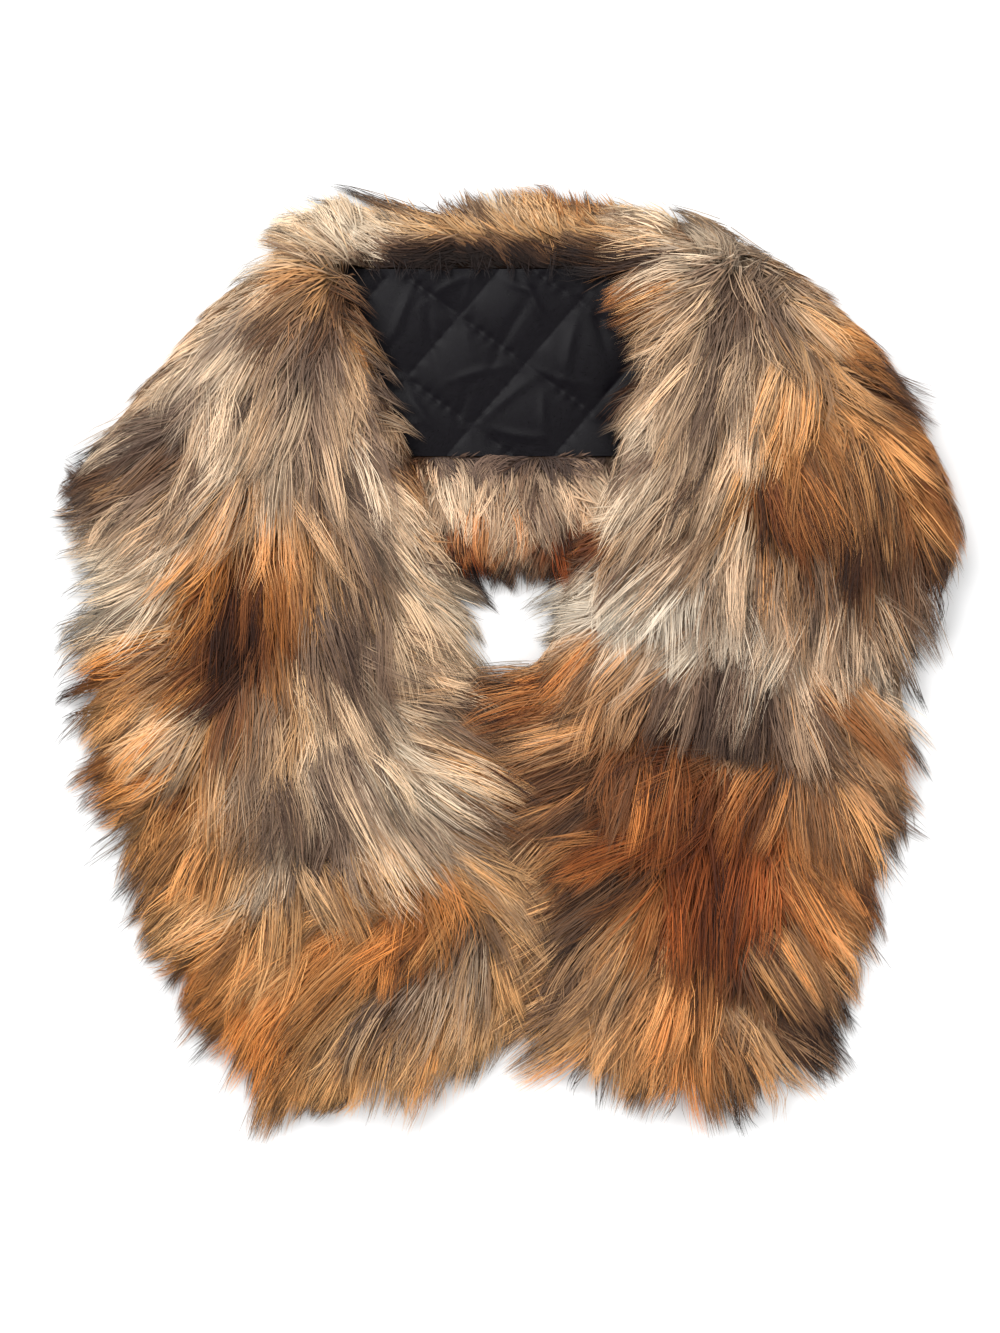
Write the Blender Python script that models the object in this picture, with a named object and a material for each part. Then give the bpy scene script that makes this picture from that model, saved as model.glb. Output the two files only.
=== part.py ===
"""A fur collar wrap, laid on a table as it is folded for the shop.

It is one long strip of fur with a quilted lining. Behind the neck the strip lies fur side down, so
its lining shows between two fur borders. At each shoulder it folds over, and its two fronts lie fur
side up and meet below the neck.

Sizes and places are in millimetres and become metres in one place, point(). +Z is up, +Y runs
from the hems to the back of the neck, and the origin is on the table under the middle of the wrap.
"""

import math
from collections import namedtuple

import bmesh
import bpy
from mathutils import Vector, noise

MM = 0.001
SEAM_GAP = 0.4  # between pieces that lie on each other

# The strip behind the neck, fur side down
BACK_LOW, BACK_HIGH = 50.0, 251.0  # the y of the strip's two edges, which sets its width
LOW_BORDER, HIGH_BORDER = 62.0, 34.0  # how far the fur turns over each edge onto the lining side
PRESSED_PILE = 12.0  # the fur under the lining
BORDER_CROWN = 29.0  # the turned fur, at its thickest
BORDER_UNDER_FRONT = 23.0  # the same where a front lies on it
BACK_NOSE = 11.0  # the height at which a border reaches furthest out
BACK_ROUND = 9.0  # how far the underside stops short of the edge
BACK_STATION = 9.5  # between two sections

# The ends of the back, which run parallel to the shoulder folds and are hidden in them
LEFT_END_HIGH, LEFT_END_LOW = -86.0, -140.0
RIGHT_END_HIGH, RIGHT_END_LOW = 94.0, 146.0

# The window between the fronts, where the borders stand up to their full height
WINDOW_LEFT, WINDOW_RIGHT = -66.0, 64.0
WINDOW_FADE = 26.0

# The quilted lining
LINING_WALL = 2.0
PUFF_HEIGHT = 3.4
DIAMOND_ACROSS, DIAMOND_UP = 66.0, 61.0  # from corner to corner of a stitched diamond
DIAMOND_MIDDLE = (-19.0, 160.0)
DIAMOND_TURN = math.radians(6.5)
LINING_COLUMNS, LINING_ROWS = 36, 17

# The two fronts
FRONT_STATION = 7.0  # between two sections
TOP_POINTS = 19  # across the top of a section
SIDE_POINTS = 3  # under each edge
FULLNESS = 2.7  # how square a section's top is
TUCK = 13.0  # how far the flat underside stops short of an edge
HEM_ROUND = 4  # sections over which the hem end closes

# Locks of fur
LOCK_LONG, LOCK_WIDE, LOCK_HIGH = 48.0, 40.0, 6.0
TIP_ABOVE, TIP_BELOW = 24.0, 7.0  # from a tip, up and down the edge to where its lock starts
HEM_TIPS = (2.0, 12.0, 3.0, 0.0, 1.0, 8.0, 2.0, 0.0)  # how far the hem's points stand out, in turn
SWELL = 2.2  # slow rise and fall of the pile
SWELL_SIZE = 70.0

Section = namedtuple("Section", "y outer inner crown outer_nose inner_nose")
Tip = namedtuple("Tip", "y reach")
Crease = namedtuple("Crease", "x y angle length width depth")

# One row for each section of a front, from the back of the neck to the hem. outer and inner are the
# x of its edges, crown its height, and the noses the heights at which its edges reach furthest out.
LEFT_FRONT = [
    Section(259, -94, -86, 24, 13, 18),
    Section(250, -104, -82, 34, 18, 28),
    Section(236, -128, -77, 44, 22, 34),
    Section(209, -148, -75, 50, 24, 36),
    Section(176, -173, -69, 54, 25, 37),
    Section(143, -201, -57, 55, 25, 38),
    Section(110, -222, -44, 54, 24, 38),
    Section(77, -226, -34, 50, 22, 34),
    Section(44, -227, -22, 43, 17, 22),
    Section(11, -229, -13, 37, 12, 12),
    Section(-33, -225, -3, 33, 9, 9),
    Section(-77, -211, 5, 32, 8, 9),
    Section(-121, -194, 15, 31, 8, 9),
    Section(-154, -181, 19, 30, 8, 9),
    Section(-187, -163, 14, 29, 8, 8),
    Section(-215, -145, -9, 27, 8, 8),
    Section(-238, -129, -37, 22, 8, 8),
    Section(-251, -120, -54, 14, 6, 6),
    Section(-255, -114, -62, 9, 4, 4),
]
RIGHT_FRONT = [
    Section(250, 102, 90, 26, 14, 20),
    Section(241, 122, 82, 38, 19, 30),
    Section(230, 140, 77, 45, 22, 34),
    Section(209, 169, 73, 51, 24, 36),
    Section(176, 203, 70, 55, 25, 37),
    Section(143, 225, 67, 56, 25, 38),
    Section(110, 241, 59, 55, 24, 38),
    Section(77, 251, 49, 51, 22, 34),
    Section(44, 249, 35, 44, 17, 22),
    Section(11, 237, 24, 37, 12, 12),
    Section(-33, 228, -2, 33, 9, 9),
    Section(-77, 219, 6, 32, 8, 9),
    Section(-121, 209, 16, 31, 8, 9),
    Section(-154, 199, 21, 30, 8, 9),
    Section(-187, 184, 21, 29, 8, 8),
    Section(-215, 171, 28, 27, 8, 8),
    Section(-236, 155, 45, 22, 8, 8),
    Section(-249, 148, 68, 14, 6, 6),
    Section(-255, 140, 90, 9, 4, 4),
]

# One row for each large lock whose tip stands out of a front's outer edge
LEFT_TIPS = [
    Tip(226, 5),
    Tip(150, 3),
    Tip(98, 15),
    Tip(76, 9),
    Tip(42, 5),
    Tip(10, 6),
    Tip(-28, 16),
    Tip(-64, 10),
    Tip(-98, 11),
    Tip(-135, 14),
    Tip(-163, 13),
    Tip(-190, 13),
    Tip(-216, 12),
    Tip(-240, 9),
]
RIGHT_TIPS = [
    Tip(210, 2),
    Tip(172, 3),
    Tip(102, 3),
    Tip(54, 6),
    Tip(22, 5),
    Tip(-24, 5),
    Tip(-64, 13),
    Tip(-88, 5),
    Tip(-116, 10),
    Tip(-142, 8),
    Tip(-168, 9),
    Tip(-194, 9),
    Tip(-222, 11),
    Tip(-244, 8),
]

# One row for each large trough where the pile parts or the pelt dips
CREASES = [
    Crease(-140, 10, 80, 95, 17, 7.0),
    Crease(-192, 104, 20, 70, 14, 5.0),
    Crease(-120, 150, 62, 90, 15, 4.5),
    Crease(-62, 5, -60, 80, 14, 4.0),
    Crease(-70, -185, 55, 85, 15, 5.0),
    Crease(-170, -95, 40, 70, 13, 4.5),
    Crease(112, -38, -8, 120, 18, 8.0),
    Crease(190, 62, -35, 95, 16, 6.5),
    Crease(116, 205, -70, 60, 14, 4.5),
    Crease(52, -155, 78, 90, 16, 5.5),
    Crease(122, -130, 84, 85, 14, 5.0),
    Crease(165, -205, -50, 70, 13, 4.5),
]


def point(x, y, z):
    """A place in millimetres, as a vector in metres."""
    return Vector((x, y, z)) * MM


def ease(t):
    """0 below 0, 1 above 1, and a smooth rise between."""
    t = min(1.0, max(0.0, t))
    return t * t * (3 - 2 * t)


def smooth_column(rows, column, y):
    """A column of a table of sections at y, on a curve that never overshoots its rows."""
    ys = [row.y for row in rows]
    values = [getattr(row, column) for row in rows]
    slopes = [(b - a) / (q - p) for a, b, p, q in zip(values, values[1:], ys, ys[1:])]
    tangents = [slopes[0]]
    for before, after in zip(slopes, slopes[1:]):
        flat = before * after <= 0
        tangents.append(0.0 if flat else 2 * before * after / (before + after))
    tangents.append(slopes[-1])
    i = max(0, min(len(rows) - 2, sum(y < row_y for row_y in ys) - 1))
    step = ys[i + 1] - ys[i]
    t = (y - ys[i]) / step
    return (
        values[i] * (1 + 2 * t) * (1 - t) ** 2
        + tangents[i] * step * t * (1 - t) ** 2
        + values[i + 1] * t * t * (3 - 2 * t)
        + tangents[i + 1] * step * t * t * (t - 1)
    )


def section_at(rows, y):
    """The section of a front at y, between the rows of its table."""
    columns = Section._fields[1:]
    return Section(y, *(smooth_column(rows, column, y) for column in columns))


def crease_depth(x, y):
    """How far the creases sink the pile at a place."""
    total = 0.0
    for crease in CREASES:
        turn = math.radians(crease.angle)
        dx, dy = x - crease.x, y - crease.y
        along = (dx * math.cos(turn) + dy * math.sin(turn)) / (crease.length / 2)
        across = (dy * math.cos(turn) - dx * math.sin(turn)) / (crease.width / 2)
        total += crease.depth * math.exp(-(along**4) - across**2)
    return total


def lock_relief(x, y, side):
    """The height of the overlapping locks. Each rises towards its tip and drops off at its end.
    side is -1 or 1, and the locks of a front point down and away from the middle."""
    lean = side * 0.25
    across = (x - lean * y) / LOCK_WIDE
    column = math.floor(across)
    down = noise.noise(Vector((column * 0.71, side, 0.5))) * 3 - y / LOCK_LONG
    row = math.floor(down)
    stray = noise.noise(Vector((column * 0.63, row * 0.77, side + 0.5)))
    rise = (down - row) ** 1.4
    body = math.sin(math.pi * (across - column)) ** 0.6
    return LOCK_HIGH * rise * body * (0.8 + 0.8 * stray)


def swell(x, y):
    """The slow rise and fall of the pile."""
    return SWELL * noise.noise(Vector((x, y, 0)) / SWELL_SIZE)


def tip_offset(tips, y):
    """How far the locks' tips stand out of an edge at y. A lock swells slowly down to its tip and
    ends sharply below it."""
    reaches = [0.0]
    for tip in tips:
        away = (y - tip.y) / TIP_ABOVE if y > tip.y else (tip.y - y) / TIP_BELOW
        reaches.append(tip.reach * max(0.0, 1 - away) ** 1.3)
    return max(reaches)


def front_ring(rows, tips, y, side, from_hem):
    """The closed loop of points of one section of a front. side is -1 for the left front and 1 for
    the right. from_hem is below 1 where the hem end rounds off."""
    cut = section_at(rows, y)
    closing = 0.6 + 0.4 * math.sqrt(1 - (1 - from_hem) ** 2)
    outer, inner = cut.outer + side * tip_offset(tips, y), cut.inner
    if side > 0:
        inner = max(inner, smooth_column(LEFT_FRONT, "inner", y) + 2 * SEAM_GAP)
    middle, half = (outer + inner) / 2, (inner - outer) / 2
    outer_nose, inner_nose = cut.outer_nose * closing, cut.inner_nose * closing
    ring = []
    for k in range(TOP_POINTS):
        u = -math.cos(math.pi * k / (TOP_POINTS - 1))
        u = 0.55 * u + 0.45 * (2 * k / (TOP_POINTS - 1) - 1)
        x = middle + half * u
        nose = outer_nose + (inner_nose - outer_nose) * (u + 1) / 2
        dome = (1 - abs(u) ** FULLNESS) ** (1 / 2.1)
        z = nose + (cut.crown * closing - nose) * dome
        relief = lock_relief(x, y, side) + swell(x, y) - crease_depth(x, y)
        drop = (1 - from_hem) ** 2 * HEM_TIPS[k % len(HEM_TIPS)]
        ring.append((x, y - drop, z + relief * min(1.0, dome * 1.6) * closing))
    for edge, nose, towards in ((inner, inner_nose, -1), (outer, outer_nose, 1)):
        tuck = towards * math.copysign(min(TUCK, 0.45 * abs(half)), half)
        lower = []
        for k in range(1, SIDE_POINTS + 1):
            turn = math.pi / 2 * k / SIDE_POINTS
            lower.append((edge + tuck * (1 - math.cos(turn)), y, nose * (1 - math.sin(turn))))
        ring += lower if edge == inner else lower[::-1]
    return [(x, y, max(z, 0.0)) for x, y, z in ring]


def back_ends(y):
    """The x of the back's two ends at y, which are parallel to the folds."""
    t = (y - BACK_LOW) / (BACK_HIGH - BACK_LOW)
    left = LEFT_END_LOW + (LEFT_END_HIGH - LEFT_END_LOW) * t
    right = RIGHT_END_LOW + (RIGHT_END_HIGH - RIGHT_END_LOW) * t
    return left, right


def in_window(x, y):
    """1 between the fronts and 0 under them. The fronts' inner edges part towards the neck."""
    spread = 0.28 * (y - BACK_LOW - 100)
    left = ease((x - WINDOW_LEFT - 18 + spread * 0.6) / WINDOW_FADE)
    right = ease((WINDOW_RIGHT - 12 + spread * 0.3 - x) / WINDOW_FADE)
    return left * right


def back_profile():
    """(y, share of the border's height) across the back, from its low edge to its high one."""
    points = []
    for edge, width, inward in ((BACK_LOW, LOW_BORDER, 1), (BACK_HIGH, HIGH_BORDER, -1)):
        across = []
        for t in (0.0, 0.06, 0.17, 0.34, 0.52, 0.7, 0.85, 0.95, 1.0):
            across.append((edge + inward * width * t, t))
        points += across if inward > 0 else across[::-1]
    return points


def back_ring(share, grow):
    """The loop of points of the back at a share of the way from its left end to its right one.
    grow makes the larger form that the fronts are cut with."""
    past_end = grow * ((share == 1) - (share == 0))
    ring = []
    for y, t in back_profile():
        left, right = back_ends(y)
        x = left + (right - left) * share
        crown = BORDER_UNDER_FRONT + (BORDER_CROWN - BORDER_UNDER_FRONT) * in_window(x, y)
        if t >= 1:
            height = PRESSED_PILE
        else:
            rise = math.sin(math.pi * min(1.0, t * 0.84 + 0.16)) ** 0.55
            height = BACK_NOSE + (crown - BACK_NOSE) * rise
            height += 0.8 * in_window(x, y) * rise * (lock_relief(x, y, 0) - 0.5 * LOCK_HIGH)
        if grow and t >= 0.95:
            height = max(height, PRESSED_PILE + LINING_WALL + PUFF_HEIGHT + SEAM_GAP)
        outward = grow * ((y == BACK_HIGH) - (y == BACK_LOW))
        ring.append((x + past_end, y + outward, height + grow))
    for edge, inward in ((BACK_HIGH, -1), (BACK_LOW, 1)):
        if grow:
            reach = edge - inward * (grow + (20 if edge == BACK_HIGH else 0))
            corners = [(reach, BACK_NOSE + grow), (reach, -5.0)]
        else:
            corners = [(edge + inward * 0.3 * BACK_ROUND, 0.35 * BACK_NOSE)]
            corners.append((edge + inward * BACK_ROUND, 0.0))
        for y, z in corners if edge == BACK_HIGH else corners[::-1]:
            left, right = back_ends(y)
            ring.append((left + (right - left) * share + past_end, y, z))
    return ring


def loft(name, rings):
    """A closed solid through rings with the same number of points, capped at both ends."""
    shape = bmesh.new()
    loops = [[shape.verts.new(point(*p)) for p in ring] for ring in rings]
    count = len(loops[0])
    for before, after in zip(loops, loops[1:]):
        for k in range(count):
            after_k = (k + 1) % count
            shape.faces.new((before[k], before[after_k], after[after_k], after[k]))
    shape.faces.new(loops[0][::-1])
    shape.faces.new(loops[-1])
    bmesh.ops.remove_doubles(shape, verts=shape.verts, dist=0.02 * MM)
    bmesh.ops.recalc_face_normals(shape, faces=shape.faces)
    return solid(name, shape)


def solid(name, shape):
    """The object of a bmesh, linked to the scene and shaded smooth."""
    mesh = bpy.data.meshes.new(name)
    shape.to_mesh(mesh)
    shape.free()
    mesh.shade_smooth()
    mesh.set_sharp_from_angle(angle=math.radians(50))
    made = bpy.data.objects.new(name, mesh)
    bpy.context.scene.collection.objects.link(made)
    return made


def front(name, rows, tips, side):
    """One front, from its shoulder fold to its hem."""
    high, low = rows[0].y, rows[-1].y
    steps = round((high - low) / FRONT_STATION)
    rings = []
    for station in range(steps + 1):
        y = high + (low - high) * station / steps
        from_hem = min(1.0, (steps - station) / HEM_ROUND)
        rings.append(front_ring(rows, tips, y, side, from_hem))
    return loft(name, rings)


def back(name, grow=0.0):
    """The stretch behind the neck, or with grow the form that it cuts out of the fronts."""
    steps = round((RIGHT_END_LOW - LEFT_END_LOW) / BACK_STATION)
    return loft(name, [back_ring(k / steps, grow) for k in range(steps + 1)])


def puff(x, y):
    """How far the quilting stands up from its stitch lines at a place, from 0 to 1."""
    dx, dy = x - DIAMOND_MIDDLE[0], y - DIAMOND_MIDDLE[1]
    across = (dx * math.cos(DIAMOND_TURN) + dy * math.sin(DIAMOND_TURN)) / DIAMOND_ACROSS
    up = (dy * math.cos(DIAMOND_TURN) - dx * math.sin(DIAMOND_TURN)) / DIAMOND_UP
    rise = abs(math.cos(math.pi * (across + up)) * math.cos(math.pi * (across - up)))
    return rise**0.6


def lining(name):
    """The quilted panel. Its puffs are raised on the upper side, and its underside is plain."""
    low = BACK_LOW + LOW_BORDER + SEAM_GAP
    high = BACK_HIGH - HIGH_BORDER - SEAM_GAP
    floor = PRESSED_PILE + SEAM_GAP
    shape = bmesh.new()
    rows = []
    for j in range(LINING_ROWS + 1):
        y = low + (high - low) * j / LINING_ROWS
        left, right = back_ends(y)
        row = []
        for i in range(LINING_COLUMNS + 1):
            x = left + (right - left) * i / LINING_COLUMNS
            z = floor + LINING_WALL + PUFF_HEIGHT * puff(x, y)
            row.append(shape.verts.new(point(x, y, z)))
        rows.append(row)
    for below, above in zip(rows, rows[1:]):
        for i in range(LINING_COLUMNS):
            shape.faces.new((below[i], below[i + 1], above[i + 1], above[i]))
    rim = rows[0] + [row[-1] for row in rows[1:]]
    rim += rows[-1][-2::-1] + [row[0] for row in rows[-2:0:-1]]
    under = [shape.verts.new(Vector((v.co.x, v.co.y, floor * MM))) for v in rim]
    for k, top in enumerate(rim):
        after_k = (k + 1) % len(rim)
        shape.faces.new((top, under[k], under[after_k], rim[after_k]))
    shape.faces.new(under[::-1])
    bmesh.ops.recalc_face_normals(shape, faces=shape.faces)
    return solid(name, shape)


def cut(target, cutter):
    """Takes the cutter's form out of the target, and keeps the cutter out of the model."""
    cutter.hide_render = True
    cutter.display_type = "WIRE"
    modifier = target.modifiers.new("lies_on_back", "BOOLEAN")
    modifier.operation = "DIFFERENCE"
    modifier.object = cutter


def material(name, colour, roughness, sheen=0.0):
    """A plain cloth or fur finish."""
    made = bpy.data.materials.new(name)
    made.use_nodes = True
    shader = made.node_tree.nodes["Principled BSDF"]
    shader.inputs["Base Color"].default_value = (*colour, 1.0)
    shader.inputs["Roughness"].default_value = roughness
    shader.inputs["Metallic"].default_value = 0.0
    shader.inputs["Sheen Weight"].default_value = sheen
    return made


def centre_on_table(pieces):
    """Moves the pieces together so that the middle of their box is over the origin."""
    bpy.context.view_layer.update()
    graph = bpy.context.evaluated_depsgraph_get()
    places = []
    for piece in pieces:
        if not piece.hide_render:
            mesh = piece.evaluated_get(graph).data
            places += [v.co.copy() for v in mesh.vertices]
    middle_x = (min(p.x for p in places) + max(p.x for p in places)) / 2
    middle_y = (min(p.y for p in places) + max(p.y for p in places)) / 2
    for piece in pieces:
        piece.location = (-middle_x, -middle_y, 0)


def main():
    for old in list(bpy.data.objects):
        bpy.data.objects.remove(old)
    tan_fur = material("tan_fur", (0.44, 0.27, 0.14), 0.8, sheen=0.4)
    black_satin = material("black_satin", (0.012, 0.011, 0.014), 0.42)
    fur_back = back("fur_back")
    lining_back = lining("lining_back")
    left_front = front("fur_left_front", LEFT_FRONT, LEFT_TIPS, -1)
    right_front = front("fur_right_front", RIGHT_FRONT, RIGHT_TIPS, 1)
    form = back("back_form", grow=SEAM_GAP)
    for fur in (fur_back, left_front, right_front):
        fur.data.materials.append(tan_fur)
    lining_back.data.materials.append(black_satin)
    for fur in (left_front, right_front):
        cut(fur, form)
    centre_on_table([fur_back, lining_back, left_front, right_front, form])


main()
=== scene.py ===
import math

import bpy
import numpy as np
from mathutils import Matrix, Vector
from mathutils.bvhtree import BVHTree


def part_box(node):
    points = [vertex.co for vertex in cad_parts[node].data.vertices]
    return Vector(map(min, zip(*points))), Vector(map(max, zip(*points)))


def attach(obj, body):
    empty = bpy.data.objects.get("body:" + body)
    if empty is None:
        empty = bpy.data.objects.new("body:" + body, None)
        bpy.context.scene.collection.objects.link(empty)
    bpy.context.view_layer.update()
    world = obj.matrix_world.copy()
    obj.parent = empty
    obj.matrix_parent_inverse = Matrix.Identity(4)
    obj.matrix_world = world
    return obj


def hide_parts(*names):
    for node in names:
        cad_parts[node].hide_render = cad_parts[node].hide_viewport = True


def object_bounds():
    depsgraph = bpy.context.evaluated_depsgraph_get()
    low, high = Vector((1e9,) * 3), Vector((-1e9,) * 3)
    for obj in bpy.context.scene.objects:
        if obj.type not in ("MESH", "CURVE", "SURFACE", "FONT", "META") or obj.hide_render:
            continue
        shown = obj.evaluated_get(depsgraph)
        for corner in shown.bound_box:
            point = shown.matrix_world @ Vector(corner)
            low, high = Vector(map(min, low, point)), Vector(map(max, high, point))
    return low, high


# Looks for the fur collar wrap: long dyed pile on a pelt, and a quilted satin lining.
# Plan places are in millimetres, as in the CAD, with the box's middle at planMiddle.
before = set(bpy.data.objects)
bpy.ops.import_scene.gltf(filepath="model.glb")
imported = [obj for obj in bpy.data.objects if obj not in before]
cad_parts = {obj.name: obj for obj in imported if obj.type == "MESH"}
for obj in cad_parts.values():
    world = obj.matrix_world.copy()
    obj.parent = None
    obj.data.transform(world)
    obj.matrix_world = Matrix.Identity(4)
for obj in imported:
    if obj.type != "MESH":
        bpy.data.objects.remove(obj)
cadLow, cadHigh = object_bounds()
mm = 0.001
planMiddle = (8.8, -4.0)
rng = np.random.default_rng(20)


def planX(x):
    return (x - planMiddle[0]) * mm


def planY(y):
    return (y - planMiddle[1]) * mm


def onPlan(x, y):
    return planX(x), planY(y)


def ease(t):
    t = np.clip(t, 0, 1)
    return t * t * (3 - 2 * t)


def unit(v):
    return v / np.maximum(np.linalg.norm(v, axis=-1, keepdims=True), 1e-9)


def dot(a, b):
    return (a * b).sum(-1, keepdims=True)


# 1 at a height on the plan, falling off over its reach
def bell(y, middle, reach):
    return np.exp(-(((y - planY(middle)) / reach) ** 2))


# how far places are along and across a line through a place on the plan, at an angle in degrees
def alongAcross(x, y, place, angle):
    cx, cy = onPlan(*place)
    c, s = math.cos(math.radians(angle)), math.sin(math.radians(angle))
    return (x - cx) * c + (y - cy) * s, (y - cy) * c - (x - cx) * s


def turned(way, degrees):
    c, s = np.cos(np.radians(degrees)), np.sin(np.radians(degrees))
    return np.stack([way[:, 0] * c - way[:, 1] * s, way[:, 0] * s + way[:, 1] * c], 1)


def fromSrgb(colour):
    c = np.array(colour, float) / 255
    return np.where(c <= 0.04045, c / 12.92, ((c + 0.055) / 1.055) ** 2.4)


def nodeTree(node):
    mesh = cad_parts[node].data
    return BVHTree.FromPolygons([v.co for v in mesh.vertices], [p.vertices for p in mesh.polygons])


trees = {name: nodeTree(name) for name in ("fur_left_front", "fur_right_front", "fur_back", "lining_back")}


def hitHeight(node, x, y, fromAbove=True):
    start, way = (0.3, -1) if fromAbove else (-0.1, 1)
    hit = trees[node].ray_cast(Vector((x, y, start)), Vector((0, 0, way)))[0]
    return hit.z if hit else None


# a solid's heights at a grid of places, and another height where it has none
def heightsOver(node, x, y, otherwise, fromAbove=True):
    heights = [hitHeight(node, px, py, fromAbove) or otherwise for px, py in zip(x.ravel(), y.ravel())]
    return np.array(heights, float).reshape(x.shape)


# the node's lowest and highest x at each y, or with axis 0 its lowest and highest y at each x
def sliceEdges(node, places, axis=1):
    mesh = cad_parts[node].data
    points = np.empty(len(mesh.vertices) * 3, np.float32)
    mesh.vertices.foreach_get("co", points)
    points = points.reshape(-1, 3).astype(float)
    edges = np.empty(len(mesh.edges) * 2, np.int32)
    mesh.edges.foreach_get("vertices", edges)
    a, b = points[edges[0::2]], points[edges[1::2]]
    low, high = [], []
    for place in places:
        over = (a[:, axis] - place) * (b[:, axis] - place) <= 0
        over &= np.abs(a[:, axis] - b[:, axis]) > 1e-7
        t = (place - a[over, axis]) / (b[over, axis] - a[over, axis])
        met = a[over, 1 - axis] + t * (b[over, 1 - axis] - a[over, 1 - axis])
        low.append(met.min())
        high.append(met.max())
    return np.array(low), np.array(high)


# a grid's values at rows and columns that may lie between its own
def readGrid(grid, rows, columns):
    j = np.clip(rows, 0, grid.shape[0] - 1.001)
    i = np.clip(columns, 0, grid.shape[1] - 1.001)
    b, a = j.astype(int), i.astype(int)
    q, p = j - b, i - a
    if grid.ndim == 3:
        q, p = q[:, None], p[:, None]
    lower = grid[b, a] * (1 - p) + grid[b, a + 1] * p
    upper = grid[b + 1, a] * (1 - p) + grid[b + 1, a + 1] * p
    return lower * (1 - q) + upper * q


# the heights that hair rests on and may rise to
heightMap = {"step": 2.5 * mm, "margin": 0.05, "pile": 15 * mm}


def makeHeightMap():
    step, margin = heightMap["step"], heightMap["margin"]
    xs = np.arange(cadLow.x - margin, cadHigh.x + margin, step)
    ys = np.arange(cadLow.y - margin, cadHigh.y + margin, step)
    top = np.zeros((len(ys), len(xs)))
    rest = np.zeros_like(top)
    for name in trees:
        low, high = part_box(name)
        sunk = 0 if name == "lining_back" else heightMap["pile"]
        for j in np.where((ys > low.y) & (ys < high.y))[0]:
            for i in np.where((xs > low.x) & (xs < high.x))[0]:
                z = hitHeight(name, xs[i], ys[j])
                if z is not None:
                    top[j, i] = max(top[j, i], z)
                    rest[j, i] = max(rest[j, i], z - sunk)
    heightMap.update(x0=xs[0], y0=ys[0], top=top, rest=rest)


def heightAt(layer, x, y):
    step = heightMap["step"]
    return readGrid(heightMap[layer], (y - heightMap["y0"]) / step, (x - heightMap["x0"]) / step)


makeHeightMap()
print("measured the solids")

furColours = {
    "cream": (243, 223, 196),
    "tan": (212, 176, 138),
    "gold": (218, 165, 106),
    "rust": (184, 115, 54),
    "chestnut": (108, 50, 22),
    "taupe": (154, 126, 104),
    "slate": (86, 67, 58),
    "umber": (50, 31, 21),
    "soot": (30, 24, 24),
}
groundColours = {"tan": 0.46, "cream": 0.22, "taupe": 0.14, "gold": 0.18}
dyeing = {"patchStrength": 4.6, "contrast": 1.45}

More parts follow.
